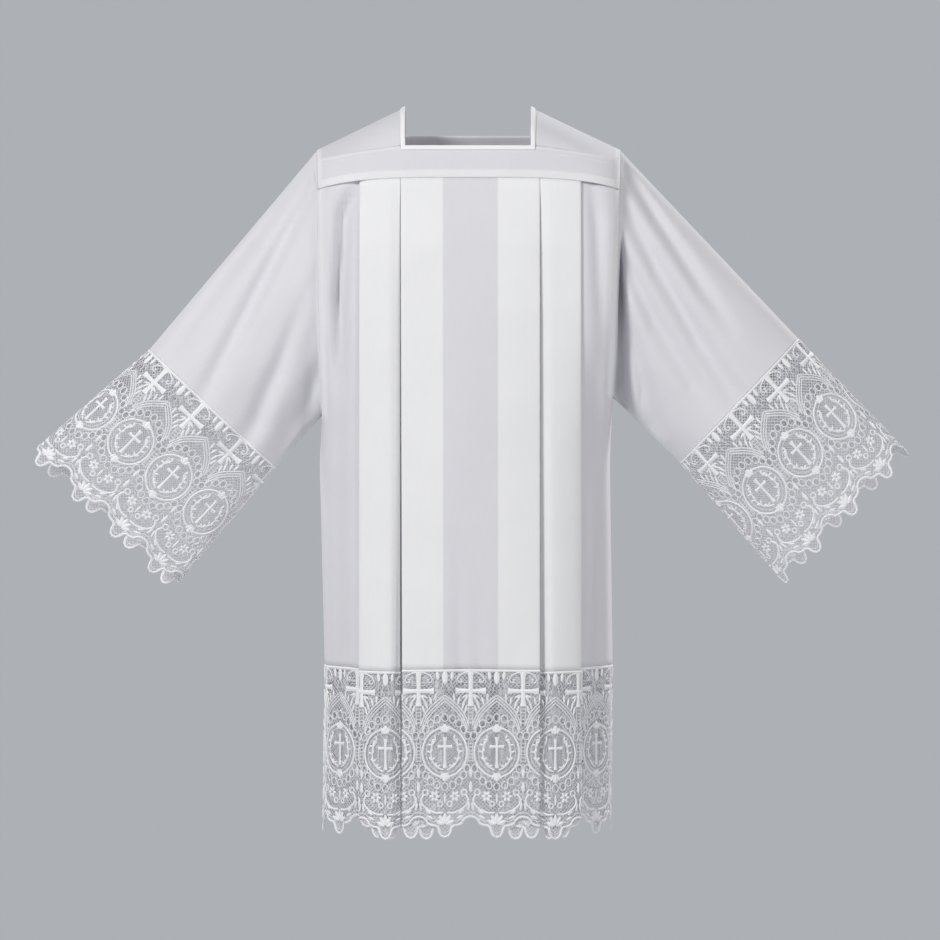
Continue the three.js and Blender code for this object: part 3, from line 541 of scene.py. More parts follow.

# %% [markdown]
# ## The pleated panels
# The front and the back panel are the largest pieces. The painted shade of each point follows
# how many layers lie there: none where three lie in the boxes and over the underlay, full where
# one hangs in between and at the sides. The change is drawn sharp at the pressed edges, because
# they show through as fine lines.

# %% Front and back panel
PANEL_ROWS = 72
TONE_EDGE = 1.5               # over this width one layer goes over into three
TONE_MARGIN = 2               # three layers are drawn this far past a lip or an outer edge
ARMHOLE_ALLOWANCE = 8         # width of the seam allowance along an armhole


def armhole_strip(x, z):
    """1 on the seam allowance that lies inside along an armhole, where no painted shade is laid."""
    edge = of_side(lambda side, at: side_edge(side, at)[0], x, z)
    bottom = of_side(lambda side, at: ARMHOLES[side]["bottom"][1] + 0 * at, x, z)
    return np.clip((np.abs(x) - edge + ARMHOLE_ALLOWANCE) / TONE_EDGE, 0, 1) * (z > bottom)


def layers_shade_cover(face, points, columns):
    """1 where three layers lie on one another and no shade is painted, 0 where the cloth is single and
    takes the full painted shade.
    """
    x, z = points[..., 0], points[..., 2]
    fold = {row["fold"]: fold_place(face, columns["side"], row["fold"], z) for row in PLEAT_FOLDS}

    def between(low, high):
        reach = np.abs(x)
        past_low = np.clip((reach - low) / TONE_EDGE + 0.5, 0, 1)
        return past_low * np.clip((high - reach) / TONE_EDGE + 0.5, 0, 1)

    under_middle = between(fold["edge of the underlay"], fold["inner lip of the opening"] + TONE_MARGIN)
    under_box = between(fold["outer lip of the opening"] - TONE_MARGIN,
                        fold["outer edge of the box"] + TONE_MARGIN)
    pleated = np.maximum(under_middle, under_box) * (columns["layer"] < 1.5)
    return np.maximum(pleated, armhole_strip(x, z))


def sharpen(face, columns):
    """Adds strips beside the underlay's edge, where the painted shade changes on the outermost layer."""
    underlay = next(row for row in PLEAT_FOLDS if row["fold"] == "edge of the underlay")
    result = {key: [] for key in columns}
    for i in range(len(columns["yoke"])):
        for key in columns:
            result[key].append(columns[key][i])
        here = slice(i, i + 2)
        if i + 1 == len(columns["yoke"]) or columns["layer"][here].any() or columns["plain"][here].any():
            continue
        start, end = (columns["side"] * columns["yoke"])[here]
        for side in (LEFT, RIGHT):
            ends = fold_ends(face, side, underlay)
            for offset in (-TONE_EDGE, TONE_EDGE):
                f = (side * ends[0] + offset - start) / (end - start) if end != start else -1
                if not 0.1 < f < 0.9:
                    continue
                for key in columns:
                    result[key].append(blend(*columns[key][here], f))
                result["yoke"][-1], result["hem"][-1] = (float(place) + side * offset for place in ends)
                result["side"][-1] = side
    return {key: np.array(values, float) for key, values in result.items()}


def panel(name, face):
    columns = sharpen(face, panel_columns(face))
    x_at_yoke = columns["side"] * np.where(columns["plain"] > 0, blend(
        PLEATED_HALF_WIDTH, side_edge(RIGHT, np.array(YOKE["lower_end"]))[0], columns["plain"]),
        columns["yoke"])
    top, hem = yoke_lower(x_at_yoke), HEM_SEAM - columns["drop"]
    rows = np.linspace(0, 1, PANEL_ROWS + 1)[:, None]
    z = blend(top, hem, rows)
    points = panel_points(face, columns, z)
    widths = along_rows(points, PANEL_ROWS)
    flat = np.stack(np.broadcast_arrays(widths, -z), axis=-1)
    piece = make_cloth(name, points, flat, layers_shade_cover(face, points, columns), body_cotton)
    print(f"{name} flat: {widths[-1]:.0f} x {(top - hem).max():.0f} mm")
    return piece, (widths[-1] * MM, (top - hem).max() * MM)


front_panel, front_flat = panel("pleated_front", FRONT)
back_panel, back_flat = panel("pleated_back", BACK)

# %% [markdown]
# ## The yoke
# A band at front and back and a piece over each shoulder carry the pleats. They are cut double.
# The bands lap over the top of the pleats. Their seam allowances inside hold off the painted
# shade of one layer: a lighter strip along the lower edge, a fainter one along the upper edge. The
# shoulder pieces bend from the front seam over the ridge to the back seam, so they are built from
# two curved edges, at the neck and at the armhole.

# %% Yoke bands
LAP = 2.0                     # how far the band laps over the pleats
LAP_LIFT = 0.9                # and how far it stands in front of them
LAP_FADE = 14                 # over this height above its lower edge the band settles back
LAP_SETTLES = 0.6             # by this share of the lift
ALLOWANCE = 11                # width of the seam allowance inside the lower edge
UPPER_ALLOWANCE = 5           # and inside the upper edge
UPPER_SHADE_COVER = 0.6              # the upper allowance holds off less painted shade than the lower one
BAND_STEPS = 140
BAND_ROWS = 28


def yoke_band(name, face):
    ends = [side_edge(side, np.array(YOKE["upper_end"] * 1.0))[0] for side in (LEFT, RIGHT)]
    across = np.linspace(-1, 1, BAND_STEPS + 1)
    rows = np.linspace(0, 1, BAND_ROWS + 1)[:, None]
    x = np.where(across < 0, across * ends[0], across * ends[1])
    z = blend(yoke_upper(face, x), yoke_lower(x) - LAP, rows)
    edge = of_side(lambda side, at: side_edge(side, at)[0], x + 0 * z, z)
    x = np.clip(x + 0 * z, -edge, edge)
    above_lap = smooth((z - yoke_lower(x) + LAP) / LAP_FADE)
    y = body_depth(face, x, z) + face * LAP_LIFT * (1 - LAP_SETTLES * above_lap)
    points = np.stack([x, y, z], axis=-1)
    flat = np.stack([x, -z], axis=-1)
    # the seam allowances hold off the painted shade: fully at the lower edge, partly at the upper one, and
    # along the armhole
    lower = 1 - np.clip((z - yoke_lower(x) - ALLOWANCE + LAP) / TONE_EDGE, 0, 1)
    upper = np.clip((z - yoke_upper(face, x) + UPPER_ALLOWANCE) / TONE_EDGE, 0, 1)
    tone = np.maximum(np.maximum(lower, UPPER_SHADE_COVER * upper), armhole_strip(x, z))
    return make_cloth(name, points, flat, tone, yoke_cotton)


front_yoke = yoke_band("yoke_band_front", FRONT)
back_yoke = yoke_band("yoke_band_back", BACK)

# %% Shoulder pieces
SHOULDER_ROWS = 60
SHOULDER_COLUMNS = 64
SHOULDER_LIFT = 0.45          # how far the shoulder piece starts above the upper seam of the bands
SHOULDER_INSET = 0.6          # and how far inside the armhole it ends
SHOULDER_WAVE = 0.5           # height of the soft wave over it


def shoulder_point(side, across, over):
    """From the neck (across 0) to the armhole (1), and from the front seam (over 0) to the back (1)."""
    across, over = np.broadcast_arrays(np.asarray(across, float), np.asarray(over, float))
    (top_x, top_z), (_, bottom_z) = ARMHOLES[side]["top"], ARMHOLES[side]["bottom"]
    middle, half = (top_z + bottom_z) / 2, (top_z - bottom_z) / 2
    face = np.where(over < 0.5, FRONT, BACK)
    from_ridge = np.abs(over - 0.5) * 2
    angle = from_ridge * math.pi / 2

    def by_face(function):
        return np.where(face == FRONT, function(FRONT), function(BACK))

    def seam_z(x):
        return by_face(lambda f: yoke_upper(f, side * x) + SHOULDER_LIFT)

    neck_x = np.full_like(over, NECK["half_width"])
    neck_seam = by_face(lambda f: np.abs(body_depth(f, side * neck_x, seam_z(neck_x))))
    neck = np.stack([side * neck_x, face * neck_seam * np.sin(angle),
                     blend(seam_z(neck_x), 0, np.cos(angle))], axis=-1)
    seam_angle = math.acos((YOKE["upper_end"] + SHOULDER_LIFT - middle) / half)
    ring_z = middle + half * np.cos(seam_angle * from_ridge)
    ring = np.stack([side * (armhole_at(side, ring_z)[0] - SHOULDER_INSET),
                     face * ARMHOLE_HALF_DEPTH * np.sin(seam_angle * from_ridge), ring_z], axis=-1)
    point = blend(neck, ring, across[..., None])
    reach = np.abs(point[..., 0])
    seam_depth = by_face(lambda f: np.abs(body_depth(f, side * reach, seam_z(reach))))
    straight = blend(neck_seam, ARMHOLE_HALF_DEPTH * math.sin(seam_angle), across)
    point[..., 1] += face * (seam_depth - straight) * from_ridge ** 2
    return point


def shoulder_piece(name, side):
    across, over = np.meshgrid(np.linspace(0, 1, SHOULDER_COLUMNS + 1),
                               np.linspace(0, 1, SHOULDER_ROWS + 1))
    points = shoulder_point(side, across, over)
    widths = along_rows(points, SHOULDER_ROWS // 2)
    heights = along_rows(points.transpose(1, 0, 2), SHOULDER_COLUMNS // 2)
    flat = np.stack(np.meshgrid(widths, heights), axis=-1)
    sink = SHOULDER_WAVE * np.sin(across * math.pi) * np.sin(over * math.pi * 3 + side)
    points[..., 2] += sink
    # painted shade of one layer all over, except on the armhole's seam allowance
    return make_cloth(name, points, flat, armhole_strip(points[..., 0], points[..., 2]), yoke_cotton)


shoulders = {side: shoulder_piece(f"shoulder_piece_{word}", side) for side, word in SIDES}

# %% [markdown]
# ## The neck binding
# The square neck is bound with a narrow strip, folded over the edge and stitched. It is a loop
# with a flat oval section. A curve with a bevel would twist at the corners, so the section is
# placed at each station, between the edge of the neck and a line 6 mm outside it.

# %% Neck binding
BINDING_HALF_THICKNESS = 0.9
BINDING_LIFT = 1.4
BINDING_REACH = 0.55          # half the section's width, as a share of the binding's width
BINDING_FLATNESS = 0.7        # 1 is an ellipse; the smaller it is, the flatter the two faces
BAND_STATIONS = 24
OVER_STATIONS = 26
SECTION_POINTS = 14


def neck_stations():
    """Pairs of points, on the neck's edge and outside it, all the way round."""
    edge, out = [], []
    width = NECK["binding"]

    def add_band(face, shares):
        for share in shares:
            x = share * NECK["half_width"]
            out_x = x + math.copysign(width, share) if abs(share) == 1 else x
            for line, at_x, at_z in ((edge, x, NECK[face]), (out, out_x, NECK[face] - width)):
                line.append([at_x, float(body_depth(face, at_x, at_z)), at_z])

    def add_shoulder(side, overs):
        length = ARMHOLES[side]["top"][0] - NECK["half_width"]
        edge.extend(shoulder_point(side, 0, overs).tolist())
        out.extend(shoulder_point(side, width / length, overs).tolist())

    shares = np.linspace(-1, 1, BAND_STATIONS + 1)
    overs = np.linspace(0, 1, OVER_STATIONS + 1)[2:-2]
    add_band(FRONT, shares)
    add_shoulder(RIGHT, overs)
    add_band(BACK, shares[::-1])
    add_shoulder(LEFT, overs[::-1])
    return np.array(edge), np.array(out)


def neck_binding(name):
    edge, out = neck_stations()
    run = np.roll(edge, -1, axis=0) - np.roll(edge, 1, axis=0)
    across = out - edge
    normal = np.cross(across, run)
    normal /= np.linalg.norm(normal, axis=1)[:, None]
    outside = ((edge - np.array([0, 0, NECK[FRONT]])) * normal).sum(axis=1) < 0
    normal[outside] *= -1
    angles = np.linspace(0, 2 * math.pi, SECTION_POINTS, endpoint=False)
    middle = (edge + out) / 2 + normal * BINDING_LIFT
    flatter = np.sign(np.sin(angles)) * np.abs(np.sin(angles)) ** BINDING_FLATNESS
    rings = (middle[:, None] + across[:, None] * BINDING_REACH * np.cos(angles)[None, :, None]
             + normal[:, None] * BINDING_HALF_THICKNESS * flatter[None, :, None])
    lengths = np.concatenate([[0], np.cumsum(np.linalg.norm(run, axis=1) / 2)])
    mesh = bpy.data.meshes.new(name)
    count = len(edge)
    quads = [[i * SECTION_POINTS + k, ((i + 1) % count) * SECTION_POINTS + k,
              ((i + 1) % count) * SECTION_POINTS + (k + 1) % SECTION_POINTS,
              i * SECTION_POINTS + (k + 1) % SECTION_POINTS]
             for i in range(count) for k in range(SECTION_POINTS)]
    mesh.from_pydata((rings.reshape(-1, 3) * MM).tolist(), [], quads)
    flat = [[lengths[i + a] * MM, (k + b) * MM] for i in range(count) for k in range(SECTION_POINTS)
            for a, b in ((0, 0), (1, 0), (1, 1), (0, 1))]
    mesh.uv_layers.new(name="flat").data.foreach_set("uv", np.ravel(flat))
    # the folded binding gets no painted shade
    mesh.attributes.new("tone", "FLOAT", "POINT").data.foreach_set("value", np.ones(len(mesh.vertices)))
    work = bmesh.new()
    work.from_mesh(mesh)
    bmesh.ops.recalc_face_normals(work, faces=work.faces)
    work.to_mesh(mesh)
    work.free()
    mesh.shade_smooth()
    print(name, "length:", round(lengths[-1]), "mm")
    return link_mesh(name, mesh, binding_cotton), lengths[-1] * MM


binding, binding_length = neck_binding("neck_binding_strip")

# %% [markdown]
# ## The sleeves
# A sleeve is a tube from the oval armhole to the ring where the cuff lace is sewn on. Here the
# arm is held out, so folds run from the shoulder tip down the sleeve. They are drawn as the
# body's creases are: a path over the tube and a depth along it. `down` goes from 0 at the top
# fold to 1 at the bottom fold, and `along` from 0 at the armhole over 1 at the lace seam to 2.

# %% Measures of the sleeves
LACE = {"repeat": 76, "height": 242, "cross": 4, "cuff_repeats": 8}
SLEEVES = {  # ends of the lace seam and of the lace edge as (x, z), and the place of the first cross
    LEFT: {"seam": ((-463, -352), (-280, -523)), "end": ((-641, -507), (-432, -704)), "cross": 64},
    RIGHT: {"seam": ((480, -336), (309, -516)), "end": ((644, -506), (463, -694)), "cross": 25},
}
ARMHOLE_TUCK = 1.6            # the sleeve's edge lies under the edge of the body by this much
RING_COUNT = 144
FINE_STEPS = 1440
SLEEVE_ROWS = 96
FOLD_DEEPER = 1.7             # all folds of the sleeves are pressed in this many times deeper
FLAT_AT_FOLDS = 0.1           # the creases fade towards the top and bottom fold of a sleeve
FLAT_AT_SEAM = 0.035          # and towards the armhole, so that the seam stays closed

SLEEVE_FOLDS = {
    LEFT: {
        FRONT: [
            {"along": [0, 0.2, 0.55, 0.9, 1.1, 1.5], "down": [0.16, 0.22, 0.33, 0.42, 0.45, 0.5],
             "depth": [3, 8, 9, 6, 3, 0], "width": 0.055},
            {"along": [0.1, 0.4, 0.8, 1.1], "down": [0.08, 0.1, 0.14, 0.18],
             "depth": [0, 4, 4, 0], "width": 0.05},
            {"along": [0.1, 0.45, 0.8, 1, 1.4], "down": [0.5, 0.62, 0.7, 0.72, 0.74],
             "depth": [2, 7, 8, 5, 0], "width": 0.06},
            {"along": [0, 0.3, 0.7, 1, 1.2], "down": [0.8, 0.84, 0.88, 0.88, 0.88],
             "depth": [5, 6, 4, 2, 0], "width": 0.07},
        ],
        BACK: [
            {"along": [0, 0.3, 0.7, 1, 1.3], "down": [0.22, 0.3, 0.4, 0.46, 0.5],
             "depth": [3, 8, 9, 4, 0], "width": 0.06},
            {"along": [0.1, 0.5, 0.9, 1.2], "down": [0.56, 0.64, 0.7, 0.72],
             "depth": [2, 7, 6, 0], "width": 0.06},
            {"along": [0, 0.4, 0.8, 1.1], "down": [0.82, 0.84, 0.86, 0.86],
             "depth": [8, 8, 4, 0], "width": 0.07},
        ],
    },
    RIGHT: {
        FRONT: [
            {"along": [0, 0.2, 0.5, 0.8], "down": [0.1, 0.16, 0.24, 0.3],
             "depth": [3, 8, 7, 0], "width": 0.045},
            {"along": [0, 0.25, 0.6, 0.95, 1.3], "down": [0.24, 0.34, 0.44, 0.5, 0.54],
             "depth": [3, 8, 9, 5, 0], "width": 0.055},
            {"along": [0, 0.3, 0.7, 1], "down": [0.42, 0.52, 0.6, 0.64],
             "depth": [5, 8, 6, 0], "width": 0.06},
            {"along": [0, 0.15, 0.35, 0.55, 0.75], "down": [0.5, 0.66, 0.8, 0.89, 0.93],
             "depth": [3, 6, 8, 6, 0], "width": 0.08},
        ],
        BACK: [
            {"along": [0, 0.3, 0.7, 1, 1.3], "down": [0.26, 0.36, 0.46, 0.5, 0.52],
             "depth": [3, 8, 8, 4, 0], "width": 0.06},
            {"along": [0.1, 0.5, 0.9, 1.2], "down": [0.58, 0.66, 0.7, 0.72],
             "depth": [2, 6, 6, 0], "width": 0.06},
            {"along": [0, 0.4, 0.8, 1.1], "down": [0.82, 0.84, 0.86, 0.86],
             "depth": [8, 8, 4, 0], "width": 0.07},
        ],
    },
}
SLEEVE_HOLLOWS = {  # beside the armhole: depth, from how far down, half the width there and below
    LEFT: {"depth": 8, "from": 0.5, "narrow": 0.15, "wide": 0.22},
    RIGHT: {"depth": 38, "from": 0.3, "narrow": 0.018, "wide": 0.16},
}
HOLLOW_DEEPENS = 0.35         # within this share of its length a hollow comes to its full depth
PRESS_ROOM = 0.9              # no crease takes more than this share of the room inside the tube
SLEEVE_SHADE_COVER = 0.1             # a sleeve is nearly all one layer, so it takes nearly the full painted shade
WAVES_RISE = 4                # the waves reach their full height at one part in this many of the sleeve
SLEEVE_WAVES = [  # faint waves over the tube: height in mm, turns round half the tube and along it
    {"height": 1.0, "round": 3.1, "along": 1.4, "start": 0.4},
    {"height": 0.6, "round": 6.3, "along": -2.2, "start": 1.9},
    {"height": 0.3, "round": 11.0, "along": 3.1, "start": 3.3},
]


# %% The tube of a sleeve
def ring_points(top, bottom, half_depth, count):
    """Evenly spaced points of an oval, from its top fold over the front and round the back."""
    centre, reach = (top + bottom) / 2, (top - bottom) / 2

    def at(angles):
        ring = centre + np.cos(angles)[:, None] * reach
        ring[:, 1] -= half_depth * np.sin(angles)
        return ring

    angles = np.linspace(0, 2 * math.pi, FINE_STEPS + 1)
    lengths = np.concatenate([[0], np.cumsum(np.linalg.norm(np.diff(at(angles), axis=0), axis=1))])
    return at(np.interp(np.linspace(0, lengths[-1], count + 1), lengths, angles))


def half_depth_for(half_width, girth):
    """Half the depth of an ellipse of that half width and girth, found by halving."""
    low, high = 1.0, half_width
    for _ in range(40):
        guess = (low + high) / 2
        around = math.pi * (3 * (half_width + guess)
                            - math.sqrt((3 * half_width + guess) * (half_width + 3 * guess)))
        low, high = (guess, high) if around < girth else (low, guess)
    return low


def cuff_ring(ends, count):
    top, bottom = (np.array([x, 0.0, z]) for x, z in ends)
    half_width = np.linalg.norm(top - bottom) / 2
    girth = LACE["repeat"] * LACE["cuff_repeats"]
    return ring_points(top, bottom, half_depth_for(half_width, girth), count)


def armhole_ring(side, count):
    top, bottom = (np.array([side * (x - ARMHOLE_TUCK), 0.0, z])
                   for x, z in (ARMHOLES[side]["top"], ARMHOLES[side]["bottom"]))
    return ring_points(top, bottom, ARMHOLE_HALF_DEPTH, count)


def hollow_press(side, down, along):
    """The hollow that hangs beside the armhole and widens towards the bottom fold."""
    hollow = SLEEVE_HOLLOWS[side]
    share = np.clip((down - hollow["from"]) / (1 - hollow["from"]), 0, 1)
    middle = blend(hollow["narrow"], hollow["wide"], share * share)
    offset = (along - middle) / middle
    return hollow["depth"] * smooth(share / HOLLOW_DEEPENS) * np.exp(-offset * offset)


def sleeve_press(side, share, along):
    """How far the folds press a sleeve in, in mm, round (0 to 1) and along it (0 to 2)."""
    total = np.zeros(np.broadcast(share, along).shape)
    down = 1 - np.abs(1 - 2 * share)
    for face in (FRONT, BACK):
        here = (share <= 0.5) == (face == FRONT)
        depth = np.zeros(total.shape)
        for fold in SLEEVE_FOLDS[side][face]:
            offset = (down - read(fold, "down", along, "along")) / fold["width"]
            depth = depth + FOLD_DEEPER * read(fold, "depth", along, "along") * np.exp(-offset * offset)
        depth = depth + hollow_press(side, down, along)
        for wave in SLEEVE_WAVES:
            depth = depth + wave["height"] * smooth(along * WAVES_RISE) * np.sin(
                wave["round"] * math.pi * down + wave["along"] * along * 2 + wave["start"] + side + face)
        total = total + np.where(here, depth, 0)
    return total * smooth(np.minimum(down, 1 - down) / FLAT_AT_FOLDS) * smooth(along / FLAT_AT_SEAM)


def sleeve_points(side, start, end, along, along_from, along_to):
    """A grid over the tube between two rings; `along` is 0 on the first and 1 on the second."""
    share = np.linspace(0, 1, len(start))[None, :]
    points = blend(start[None], end[None], along[:, None, None])
    inwards = np.where(share <= 0.5, 1, -1)
    place = blend(along_from, along_to, along)[:, None]
    room = PRESS_ROOM * np.abs(points[..., 1])
    points[..., 1] += inwards * np.minimum(sleeve_press(side, share, place), room)
    return points


def sleeve(name, side):
    start, end = armhole_ring(side, RING_COUNT), cuff_ring(SLEEVES[side]["seam"], RING_COUNT)
    along = np.linspace(0, 1, SLEEVE_ROWS + 1)
    points = sleeve_points(side, start, end, along, 0, 1)
    girth = blend(along_rows(points)[-1], along_rows(points, SLEEVE_ROWS)[-1], along)
    length = np.linalg.norm(start - end, axis=1)
    share = np.linspace(0, 1, RING_COUNT + 1)
    flat = np.stack([girth[:, None] * (share - 0.5), along[:, None] * length], axis=-1)
    # nearly the full painted shade of a single layer lies on the whole sleeve
    tone = np.full(points[:, :-1].shape[:2], SLEEVE_SHADE_COVER)
    piece = make_cloth(name, points[:, :-1], flat, tone, body_cotton, closed=True)
    area = sum(face.area for face in piece.data.polygons) / 2
    print(f"{name} flat: {girth[0]:.0f} x {length.max():.0f} mm, {area:.3f} m2 of cloth")
    return piece, (girth[0] * MM, length.max() * MM)


sleeves = {side: sleeve(f"sleeve_cloth_{word}", side) for side, word in SIDES}

# %% [markdown]
# ## One repeat of the lace
# Chemical lace is embroidery without a ground: thread is stitched in thick cords and leaves and
# joined by fine bars, then the backing is dissolved. One repeat holds a cross, hanging leaves, a
# pointed arch, an oval medallion with petals round it, scrolls and a scalloped edge. An image of
# lace would be flat, so every cord is geometry. One kind of stroke draws it all: a line of
# points with a width at each and a low ridge. A wide short one is a leaf, a closed one a ring.
# The repeat is drawn flat: s runs along the lace and h down from the seam, both in mm.

# %% Strokes
RIDGE = 0.34                  # height of a stroke's ridge for its width
MAX_RIDGE = 1.1
CURVE_STEP = 5.0              # a curved cord is drawn in steps of about this length
strokes = []                  # each has its points, half widths, whether it closes, and its level


def curve_through(points):
    """A smooth line through a few points."""
    points = [np.array(p, float) for p in points]
    count = len(points)
    line = []
    for i in range(count - 1):
        pick = [points[min(max(i + k, 0), count - 1)] for k in (-1, 0, 1, 2)]
        pieces = max(1, round(np.linalg.norm(pick[2] - pick[1]) / CURVE_STEP))
        for t in np.arange(pieces) / pieces:
            line.append(0.5 * (2 * pick[1] + (pick[2] - pick[0]) * t
                               + (2 * pick[0] - 5 * pick[1] + 4 * pick[2] - pick[3]) * t ** 2
                               + (3 * pick[1] - pick[0] - 3 * pick[2] + pick[3]) * t ** 3))
    return line + [points[-1]]


def stroke(points, widths, closed=False, level=0.0):
    """Adds one stroke; widths is one number, or one for each point."""
    points = np.array(points, float)
    half = np.broadcast_to(np.asarray(widths, float) / 2, len(points))
    strokes.append((points, half, closed, level))


def cord(points, width):
    stroke(curve_through(points), width)


def leaf(base, tip, width):
    """A pointed leaf from its base to its tip."""
    shares = np.array([0, 0.2, 0.5, 0.8, 1])[:, None]
    stroke(blend(np.array(base, float), np.array(tip, float), shares),
           np.array([0.25, 0.8, 1, 0.75, 0.15]) * width)


def oval(centre, radius_s, radius_h, width, count):
    angles = np.linspace(0, 2 * math.pi, count, endpoint=False)
    stroke(np.stack([centre[0] + radius_s * np.sin(angles), centre[1] - radius_h * np.cos(angles)],
                    axis=-1), width, True)


def mirrored(draw, middle, points, *rest):
    """Draws something and its mirror image about a line across the lace."""
    draw(*points, *rest)
    draw(*[flip(p, middle) for p in points], *rest)


def flip(place, middle):
    """Mirrors a point, or a list of points, about s = middle."""
    if np.ndim(place) == 1:
        return (2 * middle - place[0], place[1])
    return [flip(p, middle) for p in place]


# %% [markdown]
# The upper half of the repeat: the cord that is sewn to the cloth, a cross on the line s = 0,
# curls beside it, and hanging leaves and a triple arch over the medallion on the line s = 38.

# %% Upper half: cross, curls, hanging leaves and arch
M = LACE["repeat"] / 2        # the middle of the repeat, where the medallion stands

stroke([(s, 1.0) for s in np.linspace(0, LACE["repeat"], 13)], 4.0)
stroke([(0, 2.5), (0, 9), (0, 20), (0, 34), (0, 44), (0, 52)], [9.5, 6.6, 5.8, 5.8, 6.4, 9.5])
stroke([(-22.5, 30), (-15, 30), (-6, 30), (6, 30), (15, 30), (22.5, 30)], [9.5, 6.6, 5.8, 5.8, 6.6, 9.5])
curl = [(2.5, 2.5), (10, 4.6), (17, 8), (20, 13), (17.6, 18), (13.4, 17.6), (12.8, 14), (15.6, 13.4)]
mirrored(cord, 0, [curl], 2.3)
for h in (18.5, 22):
    mirrored(stroke, 0, [[(3, h), (10.5, h)]], 1.3)
for tip in ((9.5, 47), (13, 40)):
    mirrored(leaf, 0, [(3.2, 35.5), tip], 3.4)
leaf((M, 1), (M, 21), 8.5)
mirrored(leaf, M, [(M + 11, 2), (M + 10, 15)], 5.2)
for start, end in (((M, 21), (M, 35)), ((M + 3, 19), (M + 6, 31)), ((M + 7.5, 15), (M + 12, 26)),
                   ((M + 15, 8), (M + 17.5, 20))):
    mirrored(stroke, M, [[start, end]], 1.3)
ARCH = [(M, 36), (M + 8.5, 42.5), (M + 21, 53.5), (M + 30, 66), (M + 35, 80)]
for lower in (0, 4.4, 8.8):
    inside = [(M + (s - M) * (1 - lower * 0.011), h + lower) for s, h in ARCH]
    mirrored(cord, M, [inside], 2.0)
for base, tip in (((M + 14, 45.5), (M + 13, 33)), ((M + 19, 50), (M + 22, 38)),
                  ((M + 25, 57), (M + 29.5, 42.5)), ((M + 29, 63), (M + 32.5, 50))):
    mirrored(leaf, M, [base, tip], 3.6)
mirrored(stroke, 0, [[(3.4, 53), (3.4, 66), (3, 78)]], 1.5)
for h in np.arange(56, 78, 5):
    stroke([(-3.6, h), (3.6, h)], 1.5)
print("Strokes in the upper half:", len(strokes))

# %% [markdown]
# The medallion is an oval of net with a thick outline. It holds a plain cross between two bent
# branches with leaves. Keyhole petals surround it, and they are the largest gaps of the lace.

# %% Medallion, petals and ladders
CENTRE = (M, 118.5)
RADII = (32.5, 35.5)
PETAL_RADII = (4.6, 5.6)
BRANCH_LEAF = 7.2             # length of the leaves on the two branches
PETAL_HOLES = [(0, 68.4), (11.2, 70.5), (20.6, 77), (27.6, 85.5), (33.4, 94.5),
               (0, 167.6), (11.4, 165.4), (20.6, 159.6), (27.4, 151.2), (32.6, 141.6)]

oval(CENTRE, *RADII, 3.0, 36)
oval(CENTRE, RADII[0] - 5.5, RADII[1] - 5.5, 1.3, 30)
for s, h in PETAL_HOLES:
    for side in ((1,) if s == 0 else (-1, 1)):
        oval((M + side * s, h), *PETAL_RADII, 1.9, 10)
for top, tip in ((89.5, 77), (147.5, 160.5)):
    leaf((M, top), (M, tip), 9)
    mirrored(leaf, M, [(M + 2, top), (M + 7, (top + 3 * tip) / 4)], 4.4)
stroke([(M, 96), (M, 104), (M, 118), (M, 132), (M, 141)], [6, 3.8, 3.6, 3.8, 6])
stroke([(M - 10.5, 110), (M - 5, 110), (M + 5, 110), (M + 10.5, 110)], [5.6, 3.8, 3.8, 5.6])
branch = [(M + 3, 143.5), (M + 12, 139), (M + 18.5, 130), (M + 20.5, 119), (M + 18.5, 108), (M + 13, 99.5)]
mirrored(cord, M, [branch], 2.4)
for (s, h), turn in zip(branch[1:], (-62, -88, -110, -128, -150)):
    for spread in (-42, 42):
        a = math.radians(turn + spread)
        mirrored(leaf, M, [(s, h), (s - BRANCH_LEAF * math.cos(a), h + BRANCH_LEAF * math.sin(a))], 3.2)
mirrored(stroke, 0, [[(3.6, 104), (2.4, 118), (3.6, 132)]], 1.5)
for h in np.arange(106, 134, 5):
    stroke([(-4, h), (4, h)], 1.5)

# %% Lower half: flowers, scrolls, palmette and scalloped edge
FLOWERS = ((M - 14.8, 181.5), (M + 14.8, 181.5))
FLOWER_REACH = (1.6, 8.2)     # from where to where a flower's petals reach out from its middle
for s, h in FLOWERS:
    for petal in range(6):
        a = math.radians(60 * petal + 30)
        leaf(*[(s + reach * math.sin(a), h + reach * math.cos(a)) for reach in FLOWER_REACH], 4.4)
mirrored(oval, M, [(M + 28.2, 176)], 4.1, 4.1, 2.4, 9)
mirrored(cord, M, [[(M + 31, 180), (M + 34.5, 187), (M + 31, 195), (M + 22, 202), (M + 12, 205.5),
                    (M + 3, 205)]], 3.2)
mirrored(oval, M, [(M + 6.9, 192.5)], 3.4, 3.8, 2.4, 9)
leaf((M, 176), (M, 193), 3.4)
leaf((0, 142), (0, 156), 4.2)
leaf((0, 160), (0, 177), 5.0)
for angle in (-68, -36, 0, 36, 68):
    a = math.radians(angle)
    leaf((M + 1.5 * math.sin(a), 222.5 - 1.5 * math.cos(a)),
         (M + 14.5 * math.sin(a), 223 - 18.5 * math.cos(a)), 6)
mirrored(leaf, M, [(M + 20, 207), (M + 28, 200)], 4)
mirrored(leaf, M, [(M + 17, 214), (M + 27, 209)], 4)
mirrored(leaf, 0, [(1.5, 190), (4.5, 203)], 3.4)

